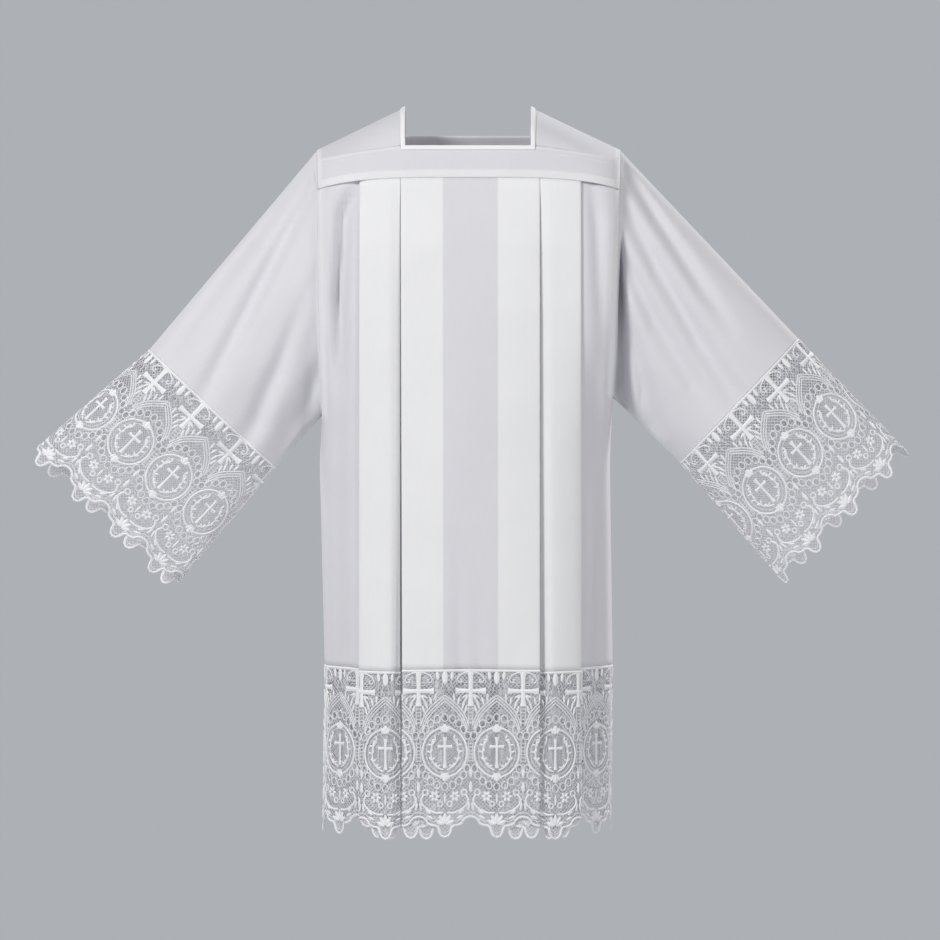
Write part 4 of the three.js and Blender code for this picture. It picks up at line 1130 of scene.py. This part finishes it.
EDGE_HALF = [(0, 210.3), (7.5, 212.6), (11.2, 216.2), (13.4, 220.6), (20, 223.2), (25.6, 223.6),
             (28.4, 227.2), (30, 233), (33, 238), (38, 240.1)]
edge_line = EDGE_HALF + [flip(p, M) for p in EDGE_HALF[-2:0:-1]]
for lift, width in ((0, 3.4), (6.0, 1.5)):
    cord([(s, h - lift) for s, h in edge_line + [(LACE["repeat"], EDGE_HALF[0][1])]], width)
print("Strokes in one repeat, without the net:", len(strokes))

# %% [markdown]
# The bars between the motifs are a slanted net. Its lines are straight, so each is cut to the
# stretches that lie outside the petals and the medallion and above the scalloped edge. The net
# of the medallion is finer. Both repeat after 76 mm, so one repeat joins the next.

# %% The net
NET_STEP = LACE["repeat"] / 13      # along the lace, from one slanted line of the net to the next
FINE_NET_STEP = 4.4
THREAD = 0.85
FINE_THREAD = 0.7
LONGEST_BAR = 11.0


def edge_height(s):
    along, heights = zip(*EDGE_HALF)
    return np.interp(np.minimum(s, LACE["repeat"] - s), along, heights)


def in_oval(s, h, centre, radii):
    return ((s - centre[0]) / radii[0]) ** 2 + ((h - centre[1]) / radii[1]) ** 2 < 1


def in_ground(s, h):
    """True where the coarse net of the ground lies."""
    inside = (s >= 0) & (s <= LACE["repeat"]) & (h > 1.5) & (h < edge_height(s))
    inside &= ~in_oval(s, h, CENTRE, RADII)
    for offset, height in PETAL_HOLES:
        for side in (-1, 1):
            inside &= ~in_oval(s, h, (M + side * offset, height), PETAL_RADII)
    return inside


def in_medallion(s, h):
    return in_oval(s, h, CENTRE, RADII)


def net(allowed, step, start, slope, level, width):
    """Lines of one slope, cut to the places that are allowed, in bars of limited length."""
    h = np.arange(0, LACE["height"] + 2, 1.0)
    for first in np.arange(start, LACE["repeat"] + LACE["height"] + step, step):
        s = first - h if slope < 0 else first - LACE["height"] + h
        kept = allowed(s, h)
        bounds = np.flatnonzero(np.diff(np.concatenate([[0], kept.astype(int), [0]])))
        for a, b in zip(bounds[::2], bounds[1::2]):
            if b - a < 2:
                continue
            bars = math.ceil((b - 1 - a) * math.sqrt(2) / LONGEST_BAR)
            at = np.linspace(a, b - 1, bars + 1)
            stroke(np.stack([np.interp(at, np.arange(len(h)), s), np.interp(at, np.arange(len(h)), h)],
                            axis=-1), width, level=level)


before = len(strokes)
for slope, level in ((-1, -0.3), (1, -0.45)):
    net(in_ground, NET_STEP, 0 if slope < 0 else LACE["height"] % NET_STEP, slope, level, THREAD)
    net(in_medallion, FINE_NET_STEP, 0 if slope < 0 else 2.0, slope, level, FINE_THREAD)
print("Bars of net:", len(strokes) - before)


# %% The repeat as a mesh
FULL_WIDTH = 2.4              # a stroke of this width or more is as bright as thread can be, with no painted shade of thin thread
THIN_SHARE = 0.25             # this share of that width takes the darkest painted shade of thin thread


def stroke_mesh(name, drawn):
    """All strokes as low three-sided cords, flat behind and ridged in front."""
    places, faces, thick = [], [], []
    for points, half, closed, level in drawn:
        count, base = len(points), len(places)
        if closed:
            run = np.roll(points, -1, axis=0) - np.roll(points, 1, axis=0)
        else:
            run = np.gradient(points, axis=0)
        run /= np.maximum(np.linalg.norm(run, axis=1), 1e-9)[:, None]
        side = np.stack([-run[:, 1], run[:, 0]], axis=-1) * half[:, None]
        ridge = level + np.minimum(half * 2 * RIDGE, MAX_RIDGE)
        for p, n, top in zip(points, side, ridge):
            places += [(*(p + n), level), (*p, top), (*(p - n), level)]
        # how thick each stroke is, which sets its painted shade of thin thread
        thick += np.repeat(np.clip(half * 2 / FULL_WIDTH - THIN_SHARE, 0, 1), 3).tolist()
        for i in range(count if closed else count - 1):
            a, b = base + 3 * i, base + 3 * ((i + 1) % count)
            faces += [(a + k, a + (k + 1) % 3, b + (k + 1) % 3, b + k) for k in range(3)]
        if not closed:
            last = base + 3 * (count - 1)
            faces += [(base, base + 2, base + 1), (last, last + 1, last + 2)]
    mesh = bpy.data.meshes.new(name)
    mesh.from_pydata((np.array(places) * MM).tolist(), [], faces)
    mesh.attributes.new("thick", "FLOAT", "POINT").data.foreach_set("value", thick)
    work = bmesh.new()
    work.from_mesh(mesh)
    bmesh.ops.recalc_face_normals(work, faces=work.faces)
    work.to_mesh(mesh)
    work.free()
    return mesh


repeat = bpy.data.objects.new("lace_repeat", stroke_mesh("lace_repeat", strokes))
bpy.context.scene.collection.objects.link(repeat)
repeat_triangles = sum(len(face.vertices) - 2 for face in repeat.data.polygons)
print("Triangles in one repeat:", repeat_triangles)

# %% [markdown]
# ## Laying out and sewing on the lace
# Two node groups do what a seamstress does. The first lays the repeats side by side in a long
# strip. The strip is then creased, which means cutting its mesh along every line where it will
# be folded. The second group sews it on: each point of the strip looks up its own s and h in the
# UV map of a hidden surface that hangs below the hem, and moves there, a little out along that
# surface's normal. Bending the strip with a Curve modifier would not follow both the pleats
# and the swing of the cloth.

# %% Node group that lays out the repeats
def group_tree(name, inputs):
    """An empty geometry group with named inputs, its input and its output node."""
    tree = bpy.data.node_groups.new(name, "GeometryNodeTree")
    tree.interface.new_socket("Geometry", in_out="OUTPUT", socket_type="NodeSocketGeometry")
    tree.interface.new_socket("Geometry", in_out="INPUT", socket_type="NodeSocketGeometry")
    for key, kind in inputs.items():
        tree.interface.new_socket(key, in_out="INPUT", socket_type=f"NodeSocket{kind}")
    return tree, tree.nodes.new("NodeGroupInput").outputs


def close_tree(tree, geometry, material):
    """Ends a group in Realize Instances and Set Material."""
    real = add(tree, "GeometryNodeRealizeInstances", {"Geometry": geometry})
    painted = add(tree, "GeometryNodeSetMaterial", {"Geometry": real.outputs[0], "Material": material})
    add(tree, "NodeGroupOutput", {"Geometry": painted.outputs[0]})


def run_group(name, mesh, tree, values):
    """A new piece that puts a mesh through a group, with its inputs filled by identifier."""
    piece = bpy.data.objects.new(name, mesh)
    modifier = piece.modifiers.new(tree.name, "NODES")
    modifier.node_group = tree
    for item in tree.interface.items_tree:
        if item.in_out == "INPUT" and item.name in values:
            modifier[item.identifier] = values[item.name]
    bpy.context.scene.collection.objects.link(piece)
    return bake(piece)


lay_out, given = group_tree("lay_out_repeats", {"Repeats": "Int", "Pitch": "Float", "Start": "Float",
                                                "Material": "Material"})
pitch = add(lay_out, "ShaderNodeCombineXYZ", {"X": given["Pitch"]})
first = add(lay_out, "ShaderNodeCombineXYZ", {"X": given["Start"]})
spots = add(lay_out, "GeometryNodeMeshLine", {"Count": given["Repeats"],
                                              "Start Location": first.outputs[0],
                                              "Offset": pitch.outputs[0]})
laid = add(lay_out, "GeometryNodeInstanceOnPoints", {"Points": spots.outputs[0],
                                                     "Instance": given["Geometry"]})
close_tree(lay_out, laid.outputs[0], given["Material"])

# %% Node group that sews the strip on
sew_on, given = group_tree("sew_on_lace", {"Ground": "Object", "Material": "Material"})
ground = add(sew_on, "GeometryNodeObjectInfo", {"Object": given["Ground"]})
flat_map = add(sew_on, "GeometryNodeInputNamedAttribute", {"Name": "flat"}, data_type="FLOAT_VECTOR")
outwards = add(sew_on, "GeometryNodeInputNamedAttribute", {"Name": "outwards"}, data_type="FLOAT_VECTOR")
hanging = add(sew_on, "GeometryNodeInputPosition")
own = add(sew_on, "GeometryNodeInputPosition")
split = add(sew_on, "ShaderNodeSeparateXYZ", {0: own.outputs[0]})
flat_place = add(sew_on, "ShaderNodeCombineXYZ", {"X": split.outputs["X"], "Y": split.outputs["Y"]})


def look_up(value):
    """A value of the ground surface at this point's flat place."""
    found = add(sew_on, "GeometryNodeSampleUVSurface", data_type="FLOAT_VECTOR")
    sew_on.links.new(ground.outputs["Geometry"], found.inputs[0])
    sew_on.links.new(value, found.inputs[1])
    sew_on.links.new(flat_map.outputs["Attribute"], found.inputs[2])
    sew_on.links.new(flat_place.outputs[0], found.inputs[3])
    return found


place_there, normal_there = look_up(hanging.outputs[0]), look_up(outwards.outputs["Attribute"])
lifted = add(sew_on, "ShaderNodeVectorMath", {0: normal_there.outputs[0], "Scale": split.outputs["Z"]},
             operation="SCALE")
new_place = add(sew_on, "ShaderNodeVectorMath", {0: place_there.outputs[0], 1: lifted.outputs[0]})
off_cloth = add(sew_on, "FunctionNodeBooleanMath", {0: place_there.outputs[1]}, operation="NOT")
kept = add(sew_on, "GeometryNodeDeleteGeometry", {"Geometry": given["Geometry"],
                                                  "Selection": off_cloth.outputs[0]})
sewn = add(sew_on, "GeometryNodeSetPosition", {"Geometry": kept.outputs[0],
                                               "Position": new_place.outputs[0]})
close_tree(sew_on, sewn.outputs[0], given["Material"])

# %% [markdown]
# ## The hem lace
# The ground for the hem lace hangs in the same pleats as the panel above it, so it is built from
# the same strips. Its UV map counts s from the middle of the garment. The strip of lace is cut
# at every line of a fold, so a fold stays sharp, and at the two side seams.

# %% Hem lace, front and back
LACE_TOP = -1.5               # the lace starts a little above the seam
LACE_LOW = 252                # the ground reaches this far down, a little below the scallops
GROUND_ROWS = 26
LONGEST_FACE = 14             # no face of the strip is longer, so only faces this near are cut
STRIP_INSET = 0.3             # the strip ends this far before each side seam
SEAM_LIFT = 0.5               # the lace lies on the cloth, not in it


def ground_surface(name, points, flat):
    """A hidden surface for the lace to be sewn to, with its outward direction at each point."""
    mesh = grid_mesh(name, points, flat)
    normals = np.zeros(len(mesh.vertices) * 3)
    mesh.vertices.foreach_get("normal", normals)
    mesh.attributes.new("outwards", "FLOAT_VECTOR", "POINT").data.foreach_set("vector", normals)
    piece = bpy.data.objects.new(name, mesh)
    bpy.context.scene.collection.objects.link(piece)
    return piece


def crease(mesh, lines, start, end):
    """Cuts a strip along lines of constant s, and cuts it off at its two ends (mm)."""
    work = bmesh.new()
    work.from_mesh(mesh)
    for place, away in ((start, "clear_inner"), (end, "clear_outer")):
        cut = bmesh.ops.bisect_plane(work, geom=work.verts[:] + work.edges[:] + work.faces[:],
                                     plane_co=(place * MM, 0, 0), plane_no=(1, 0, 0), **{away: True})
        ends = [part for part in cut["geom_cut"] if isinstance(part, bmesh.types.BMEdge)]
        bmesh.ops.holes_fill(work, edges=ends)
    for place in lines:
        reach = (place - LONGEST_FACE) * MM, (place + LONGEST_FACE) * MM
        near = [f for f in work.faces if reach[0] < f.verts[0].co.x < reach[1]]
        parts = {edge for f in near for edge in f.edges}
        corners = {v for f in near for v in f.verts}
        bmesh.ops.bisect_plane(work, geom=list(corners) + list(parts) + near,
                               plane_co=(place * MM, 0, 0), plane_no=(1, 0, 0))
    work.to_mesh(mesh)
    work.free()


def lace_strip(name, start, end, first_cross, lines, ground):
    """Lays out, creases and sews on one length of lace."""
    skipped = math.floor((start - first_cross) / LACE["repeat"]) - 1
    count = math.ceil((end - first_cross) / LACE["repeat"]) + 1 - skipped
    flat_strip = run_group(name + "_flat", repeat.data.copy(), lay_out, {
        "Repeats": count, "Pitch": LACE["repeat"] * MM, "Material": thread_white,
        "Start": (first_cross + skipped * LACE["repeat"]) * MM})
    crease(flat_strip.data, lines, start, end)
    piece = run_group(name, flat_strip.data.copy(), sew_on, {"Ground": ground, "Material": thread_white})
    bpy.data.objects.remove(flat_strip)
    helper = ground.data
    bpy.data.objects.remove(ground)
    bpy.data.meshes.remove(helper)
    area = sum(face.area for face in piece.data.polygons)
    triangles = sum(len(face.vertices) - 2 for face in piece.data.polygons)
    print(f"{name}: {triangles} triangles, {area:.3f} m2 of thread surface")
    return piece


def hem_lace(name, face):
    columns = panel_columns(face)
    seam = HEM_SEAM - columns["drop"]
    heights = np.linspace(LACE_TOP, LACE_LOW, GROUND_ROWS + 1)[:, None]
    points = panel_points(face, columns, seam - heights)
    points[..., 1] += face * SEAM_LIFT * columns["turn"] * (columns["layer"] < 0.5)
    widths = along_rows(points, 0)
    middle = widths[np.argmin(np.abs(points[0, :, 0]) + 100 * columns["layer"])]
    s = widths - middle
    flat = np.stack(np.broadcast_arrays(s, heights), axis=-1)
    ground = ground_surface(name + "_ground", points, flat)
    turning = np.flatnonzero((columns["nose"] != 0) | (np.roll(columns["nose"], 1) != 0)
                             | (np.roll(columns["nose"], -1) != 0))
    piece = lace_strip(name, s[0] + STRIP_INSET, s[-1] - STRIP_INSET, LACE["cross"], s[turning], ground)
    return piece, (s[-1] - s[0]) * MM


hem_front, hem_front_length = hem_lace("hem_lace_strip_front", FRONT)
hem_back, hem_back_length = hem_lace("hem_lace_strip_back", BACK)

# %% [markdown]
# ## The cuff lace
# Each cuff has eight repeats of the same lace, sewn into a tube. The tube is as long round its
# scallops as at its seam, but hangs wider and flatter. The sleeve's longest folds run on into it.

# %% Cuff lace, left and right
CUFF_ROWS = 26
TIGHT_STEPS = 6               # the strip is cut at this many steps on each side of both folds
CUFF_INSET = 0.01             # its two ends all but meet


def cuff_lace(name, side):
    seam, end = (cuff_ring(SLEEVES[side][key], RING_COUNT) for key in ("seam", "end"))
    along = np.linspace(LACE_TOP, LACE_LOW, CUFF_ROWS + 1) / LACE["height"]
    points = sleeve_points(side, seam, end, along, 1, 2)
    girth = LACE["repeat"] * LACE["cuff_repeats"]
    s = np.linspace(0, girth, RING_COUNT + 1)
    flat = np.stack(np.broadcast_arrays(s[None], along[:, None] * LACE["height"]), axis=-1)
    ground = ground_surface(name + "_ground", points, flat)
    half = RING_COUNT // 2
    tight = np.concatenate([s[:TIGHT_STEPS + 1], s[half - TIGHT_STEPS:half + TIGHT_STEPS + 1],
                            s[-TIGHT_STEPS - 1:]])
    return lace_strip(name, CUFF_INSET, girth - CUFF_INSET, SLEEVES[side]["cross"], tight, ground)


cuffs = {side: cuff_lace(f"cuff_lace_tube_{word}", side) for side, word in SIDES}
bpy.data.objects.remove(repeat)

# %% [markdown]
# ## Stitches
# Rows of topstitching hold both edges of the yoke, the armholes and the cuff seams. Each stitch
# is a small four-sided bead of thread. A node group walks along a line of points, puts one bead
# every 3 mm and turns it along the line and outwards from the cloth.

# %% Stitch rows
STITCH = {"pitch": 3.0, "length": 2.2, "width": 0.6, "height": 0.35, "full_at": 0.28, "lift": 0.45}

stitch_rows, given = group_tree("stitch_rows", {"Stitch": "Object", "Pitch": "Float",
                                                "Material": "Material"})
row_line = add(stitch_rows, "GeometryNodeMeshToCurve", {"Mesh": given["Geometry"]})
evenly = add(stitch_rows, "GeometryNodeResampleCurve", {"Curve": row_line.outputs[0]}, mode="LENGTH")
stitch_rows.links.new(given["Pitch"], evenly.inputs["Length"])
along_row = add(stitch_rows, "GeometryNodeInputTangent")
away = add(stitch_rows, "GeometryNodeInputNamedAttribute", {"Name": "outwards"}, data_type="FLOAT_VECTOR")
along_it = add(stitch_rows, "FunctionNodeAlignRotationToVector", {"Vector": along_row.outputs[0]}, axis="X")
facing_out = add(stitch_rows, "FunctionNodeAlignRotationToVector", {
    "Rotation": along_it.outputs[0], "Vector": away.outputs["Attribute"]}, axis="Z", pivot_axis="X")
bead = add(stitch_rows, "GeometryNodeObjectInfo", {"Object": given["Stitch"]})
sewn_rows = add(stitch_rows, "GeometryNodeInstanceOnPoints", {
    "Points": evenly.outputs[0], "Instance": bead.outputs["Geometry"], "Rotation": facing_out.outputs[0]})
close_tree(stitch_rows, sewn_rows.outputs[0], given["Material"])


def stitch_bead():
    """One stitch: a low bead of thread, pointed at both ends."""
    work = bmesh.new()
    ends = [work.verts.new((sign * STITCH["length"] / 2, 0, -STITCH["height"] / 2)) for sign in (-1, 1)]
    rings = [[work.verts.new((sign * STITCH["length"] * STITCH["full_at"],
                              STITCH["width"] / 2 * math.cos(a), STITCH["height"] * math.sin(a)))
              for a in (0, math.pi / 2, math.pi, 3 * math.pi / 2)] for sign in (-1, 1)]
    for k in range(4):
        n = (k + 1) % 4
        work.faces.new((ends[0], rings[0][n], rings[0][k]))
        work.faces.new((rings[0][k], rings[0][n], rings[1][n], rings[1][k]))
        work.faces.new((ends[1], rings[1][k], rings[1][n]))
    bmesh.ops.scale(work, vec=(MM, MM, MM), verts=work.verts)
    bmesh.ops.recalc_face_normals(work, faces=work.faces)
    mesh = bpy.data.meshes.new("stitch_bead")
    work.to_mesh(mesh)
    work.free()
    # stitches count as full thread, with no painted shade of thin thread
    mesh.attributes.new("thick", "FLOAT", "POINT").data.foreach_set("value", np.ones(len(mesh.vertices)))
    piece = bpy.data.objects.new("stitch_bead", mesh)
    bpy.context.scene.collection.objects.link(piece)
    return piece


def sew_rows(name, rows, material):
    """Stitches along several lines; each is (points in mm, outward directions)."""
    places, edges, outward = [], [], []
    for points, directions in rows:
        base = len(places)
        lifted = np.asarray(points) + STITCH["lift"] * np.asarray(directions)
        places += (lifted * MM).tolist()
        outward += np.asarray(directions).tolist()
        edges += [(base + i, base + i + 1) for i in range(len(points) - 1)]
    mesh = bpy.data.meshes.new(name)
    mesh.from_pydata(places, edges, [])
    mesh.attributes.new("outwards", "FLOAT_VECTOR", "POINT").data.foreach_set("vector", np.ravel(outward))
    one = stitch_bead()
    piece = run_group(name, mesh, stitch_rows, {"Stitch": one, "Pitch": STITCH["pitch"] * MM,
                                                "Material": material})
    bpy.data.objects.remove(one)
    print(name, "faces:", len(piece.data.polygons))
    return piece


# %% Where the stitches run
ROW_POINTS = 90
ROW_INSET = 4                 # the rows on the yoke end this far before the armhole
LOWER_ROW = 1.0               # height of the lowest row above the lower seam
UPPER_ROW = 9                 # and of the highest one below the upper seam
UPPER_ROW_LIFT = 0.4
ARMHOLE_ROW = 0.02            # place of the armhole's row, as a share of the sleeve
CUFF_ROW_DROPS = (-3.0, 0.8)  # two rows at each cuff: on the sleeve, and on the lace


def unit(vectors):
    return vectors / np.linalg.norm(vectors, axis=-1, keepdims=True)


def band_row(face, height_at, lift):
    """A line across the yoke at a height that depends on x."""
    ends = [side_edge(side, np.array(YOKE["lower_end"] * 1.0))[0] - ROW_INSET for side in (LEFT, RIGHT)]
    x = np.linspace(-ends[0], ends[1], ROW_POINTS)
    z = height_at(x)
    y = body_depth(face, x, z) + face * lift
    slope = (body_depth(face, x + 1, z) - body_depth(face, x - 1, z)) / 2
    return np.stack([x, y, z], axis=-1), unit(np.stack([-face * slope, face + 0 * x, 0 * x], axis=-1))


def armhole_row(side, outset):
    """A line on the sleeve beside the armhole seam."""
    ring = sleeve_points(side, armhole_ring(side, RING_COUNT), cuff_ring(SLEEVES[side]["seam"], RING_COUNT),
                         np.array([0.0, outset]), 0, outset)[1]
    middle = ring[:-1].mean(axis=0)
    return ring, unit((ring - middle) * np.array([0.3, 1, 1]))


def cuff_row(side, drop):
    ends = (cuff_ring(SLEEVES[side][key], RING_COUNT) for key in ("seam", "end"))
    ring = sleeve_points(side, *ends, np.array([drop / LACE["height"], 1.0]), 1, 2)[0]
    return ring, unit(ring - ring[:-1].mean(axis=0))


yoke_rows = []
for face in (FRONT, BACK):
    yoke_rows.append(band_row(face, lambda x: yoke_lower(x) + ALLOWANCE - LAP, LAP_LIFT))
    yoke_rows.append(band_row(face, lambda x: yoke_lower(x) + LOWER_ROW, LAP_LIFT))
    yoke_rows.append(band_row(face, lambda x, f=face: yoke_upper(f, x) - UPPER_ROW, UPPER_ROW_LIFT))
yoke_rows += [armhole_row(side, ARMHOLE_ROW) for side in (LEFT, RIGHT)]
yoke_rows += [cuff_row(side, drop) for side in (LEFT, RIGHT) for drop in CUFF_ROW_DROPS]
seam_stitches = sew_rows("seam_stitches", yoke_rows, thread_white)

# %% [markdown]
# ## Light, floor and camera
# White cloth needs light from one side to show its folds, and a ground that is a little darker,
# or the lace would be lost against it. A wide soft lamp stands to the left and above, a weaker
# one fills the right, and a pair behind serves the back. The floor lies where the wearer would
# stand and fades out at its rim, so that no edge shows from any side. The camera stands far
# off, level with the middle of the garment, so that near and far parts keep their sizes.

# %% Floor
FLOOR = {"height": -1.46, "radius": 4.0, "sides": 64, "fade": 0.35}


def floor_paper():
    """Pale matt paper that turns clear towards its rim."""
    paper = new_material("pale_paper_floor")
    tree = paper.node_tree
    place = add(tree, "ShaderNodeTexCoord").outputs["Object"]
    reach = add(tree, "ShaderNodeVectorMath", {0: place}, operation="LENGTH")
    solid = add(tree, "ShaderNodeMapRange", {
        "Value": reach.outputs["Value"], "From Min": FLOOR["radius"],
        "From Max": FLOOR["radius"] * FLOOR["fade"], "To Min": 0.0, "To Max": 1.0},
        interpolation_type="SMOOTHSTEP")
    matt = add(tree, "ShaderNodeBsdfDiffuse", {"Color": linear("#b4b6ba")})
    clear = add(tree, "ShaderNodeBsdfTransparent")
    mixed = add(tree, "ShaderNodeMixShader", {0: solid.outputs[0], 1: clear.outputs[0], 2: matt.outputs[0]})
    add(tree, "ShaderNodeOutputMaterial", {"Surface": mixed.outputs[0]})
    return paper


angles = np.linspace(0, 2 * math.pi, FLOOR["sides"], endpoint=False)
rim = [(FLOOR["radius"] * math.cos(a), FLOOR["radius"] * math.sin(a), 0) for a in angles]
disc = bpy.data.meshes.new("floor")
disc.from_pydata(rim, [], [list(range(FLOOR["sides"]))])
floor = link_mesh("floor", disc, floor_paper())
floor.location.z = FLOOR["height"]

# %% Lamps, sky and camera
LAMPS = [
    {"name": "key", "place": (-3.0, -3.8, 2.0), "size": 1.4, "power": 150},
    {"name": "fill", "place": (3.3, -3.6, 0.6), "size": 2.4, "power": 55},
    {"name": "back_key", "place": (3.0, 3.8, 2.0), "size": 1.4, "power": 150},
    {"name": "back_fill", "place": (-3.3, 3.6, 0.6), "size": 2.4, "power": 55},
]
SKY_STRENGTH = 0.3            # even light from all round
GROUND_COLOUR = "#adb0b5"     # the plain pale ground that is seen behind the garment
CAMERA = {"target": (0.003, 0, -0.527), "distance": 12.0, "elevation": 0.5, "covers": 1.367}


def aim(piece, place, target):
    piece.location = place
    piece.rotation_euler = (Vector(target) - Vector(place)).to_track_quat("-Z", "Y").to_euler()
    bpy.context.scene.collection.objects.link(piece)


for lamp in LAMPS:
    light = bpy.data.lights.new(lamp["name"], "AREA")
    light.shape = "DISK"
    light.size = lamp["size"]
    light.energy = lamp["power"]
    aim(bpy.data.objects.new(lamp["name"], light), lamp["place"], CAMERA["target"])

world = bpy.data.worlds.new("studio")
world.use_nodes = True
sky = world.node_tree
sky.nodes.clear()
glow = add(sky, "ShaderNodeBackground", {"Color": linear("#ffffff"), "Strength": SKY_STRENGTH})
ground_seen = add(sky, "ShaderNodeBackground", {"Color": linear(GROUND_COLOUR), "Strength": 1.0})
ray = add(sky, "ShaderNodeLightPath")
either = add(sky, "ShaderNodeMixShader", {0: ray.outputs["Is Camera Ray"], 1: glow.outputs[0],
                                          2: ground_seen.outputs[0]})
add(sky, "ShaderNodeOutputWorld", {"Surface": either.outputs[0]})
bpy.context.scene.world = world
bpy.context.scene.view_settings.view_transform = "Standard"

rise = math.radians(CAMERA["elevation"])
lens = bpy.data.cameras.new("camera")
lens.angle = 2 * math.atan(CAMERA["covers"] / 2 / CAMERA["distance"])
lens.clip_end = 100
camera = bpy.data.objects.new("camera", lens)
away_from = Vector((0, -math.cos(rise), math.sin(rise))) * CAMERA["distance"]
aim(camera, Vector(CAMERA["target"]) + away_from, CAMERA["target"])
bpy.context.scene.camera = camera
print("Camera:", CAMERA["distance"], "m away, showing", CAMERA["covers"], "m")

# %% [markdown]
# ## What each piece stands for
# Every piece rides on the one body of the frame and hides the CAD walls that it stands for.

def stands_for(piece, slot, *nodes):
    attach(piece, "root")
    if nodes:
        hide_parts(*nodes)


def declare(piece, slot, nodes):
    stands_for(piece, slot, *nodes)


stands_for(seam_stitches, "binding")
declare(front_panel, "cloth", ["front_panel"])
declare(back_panel, "cloth", ["back_panel"])
declare(front_yoke, "yoke", ["front_yoke"])
declare(back_yoke, "yoke", ["back_yoke"])
for side, word in SIDES:
    declare(shoulders[side], "yoke", [f"shoulder_{word}"])
    cloth, cut = sleeves[side]
    declare(cloth, "cloth", [f"sleeve_{word}"])
    declare(cuffs[side], "lace", [f"cuff_lace_{word}_front", f"cuff_lace_{word}_back"])
declare(binding, "binding", ["neck_binding"])
declare(hem_front, "lace", ["hem_lace_front"])
declare(hem_back, "lace", ["hem_lace_back"])
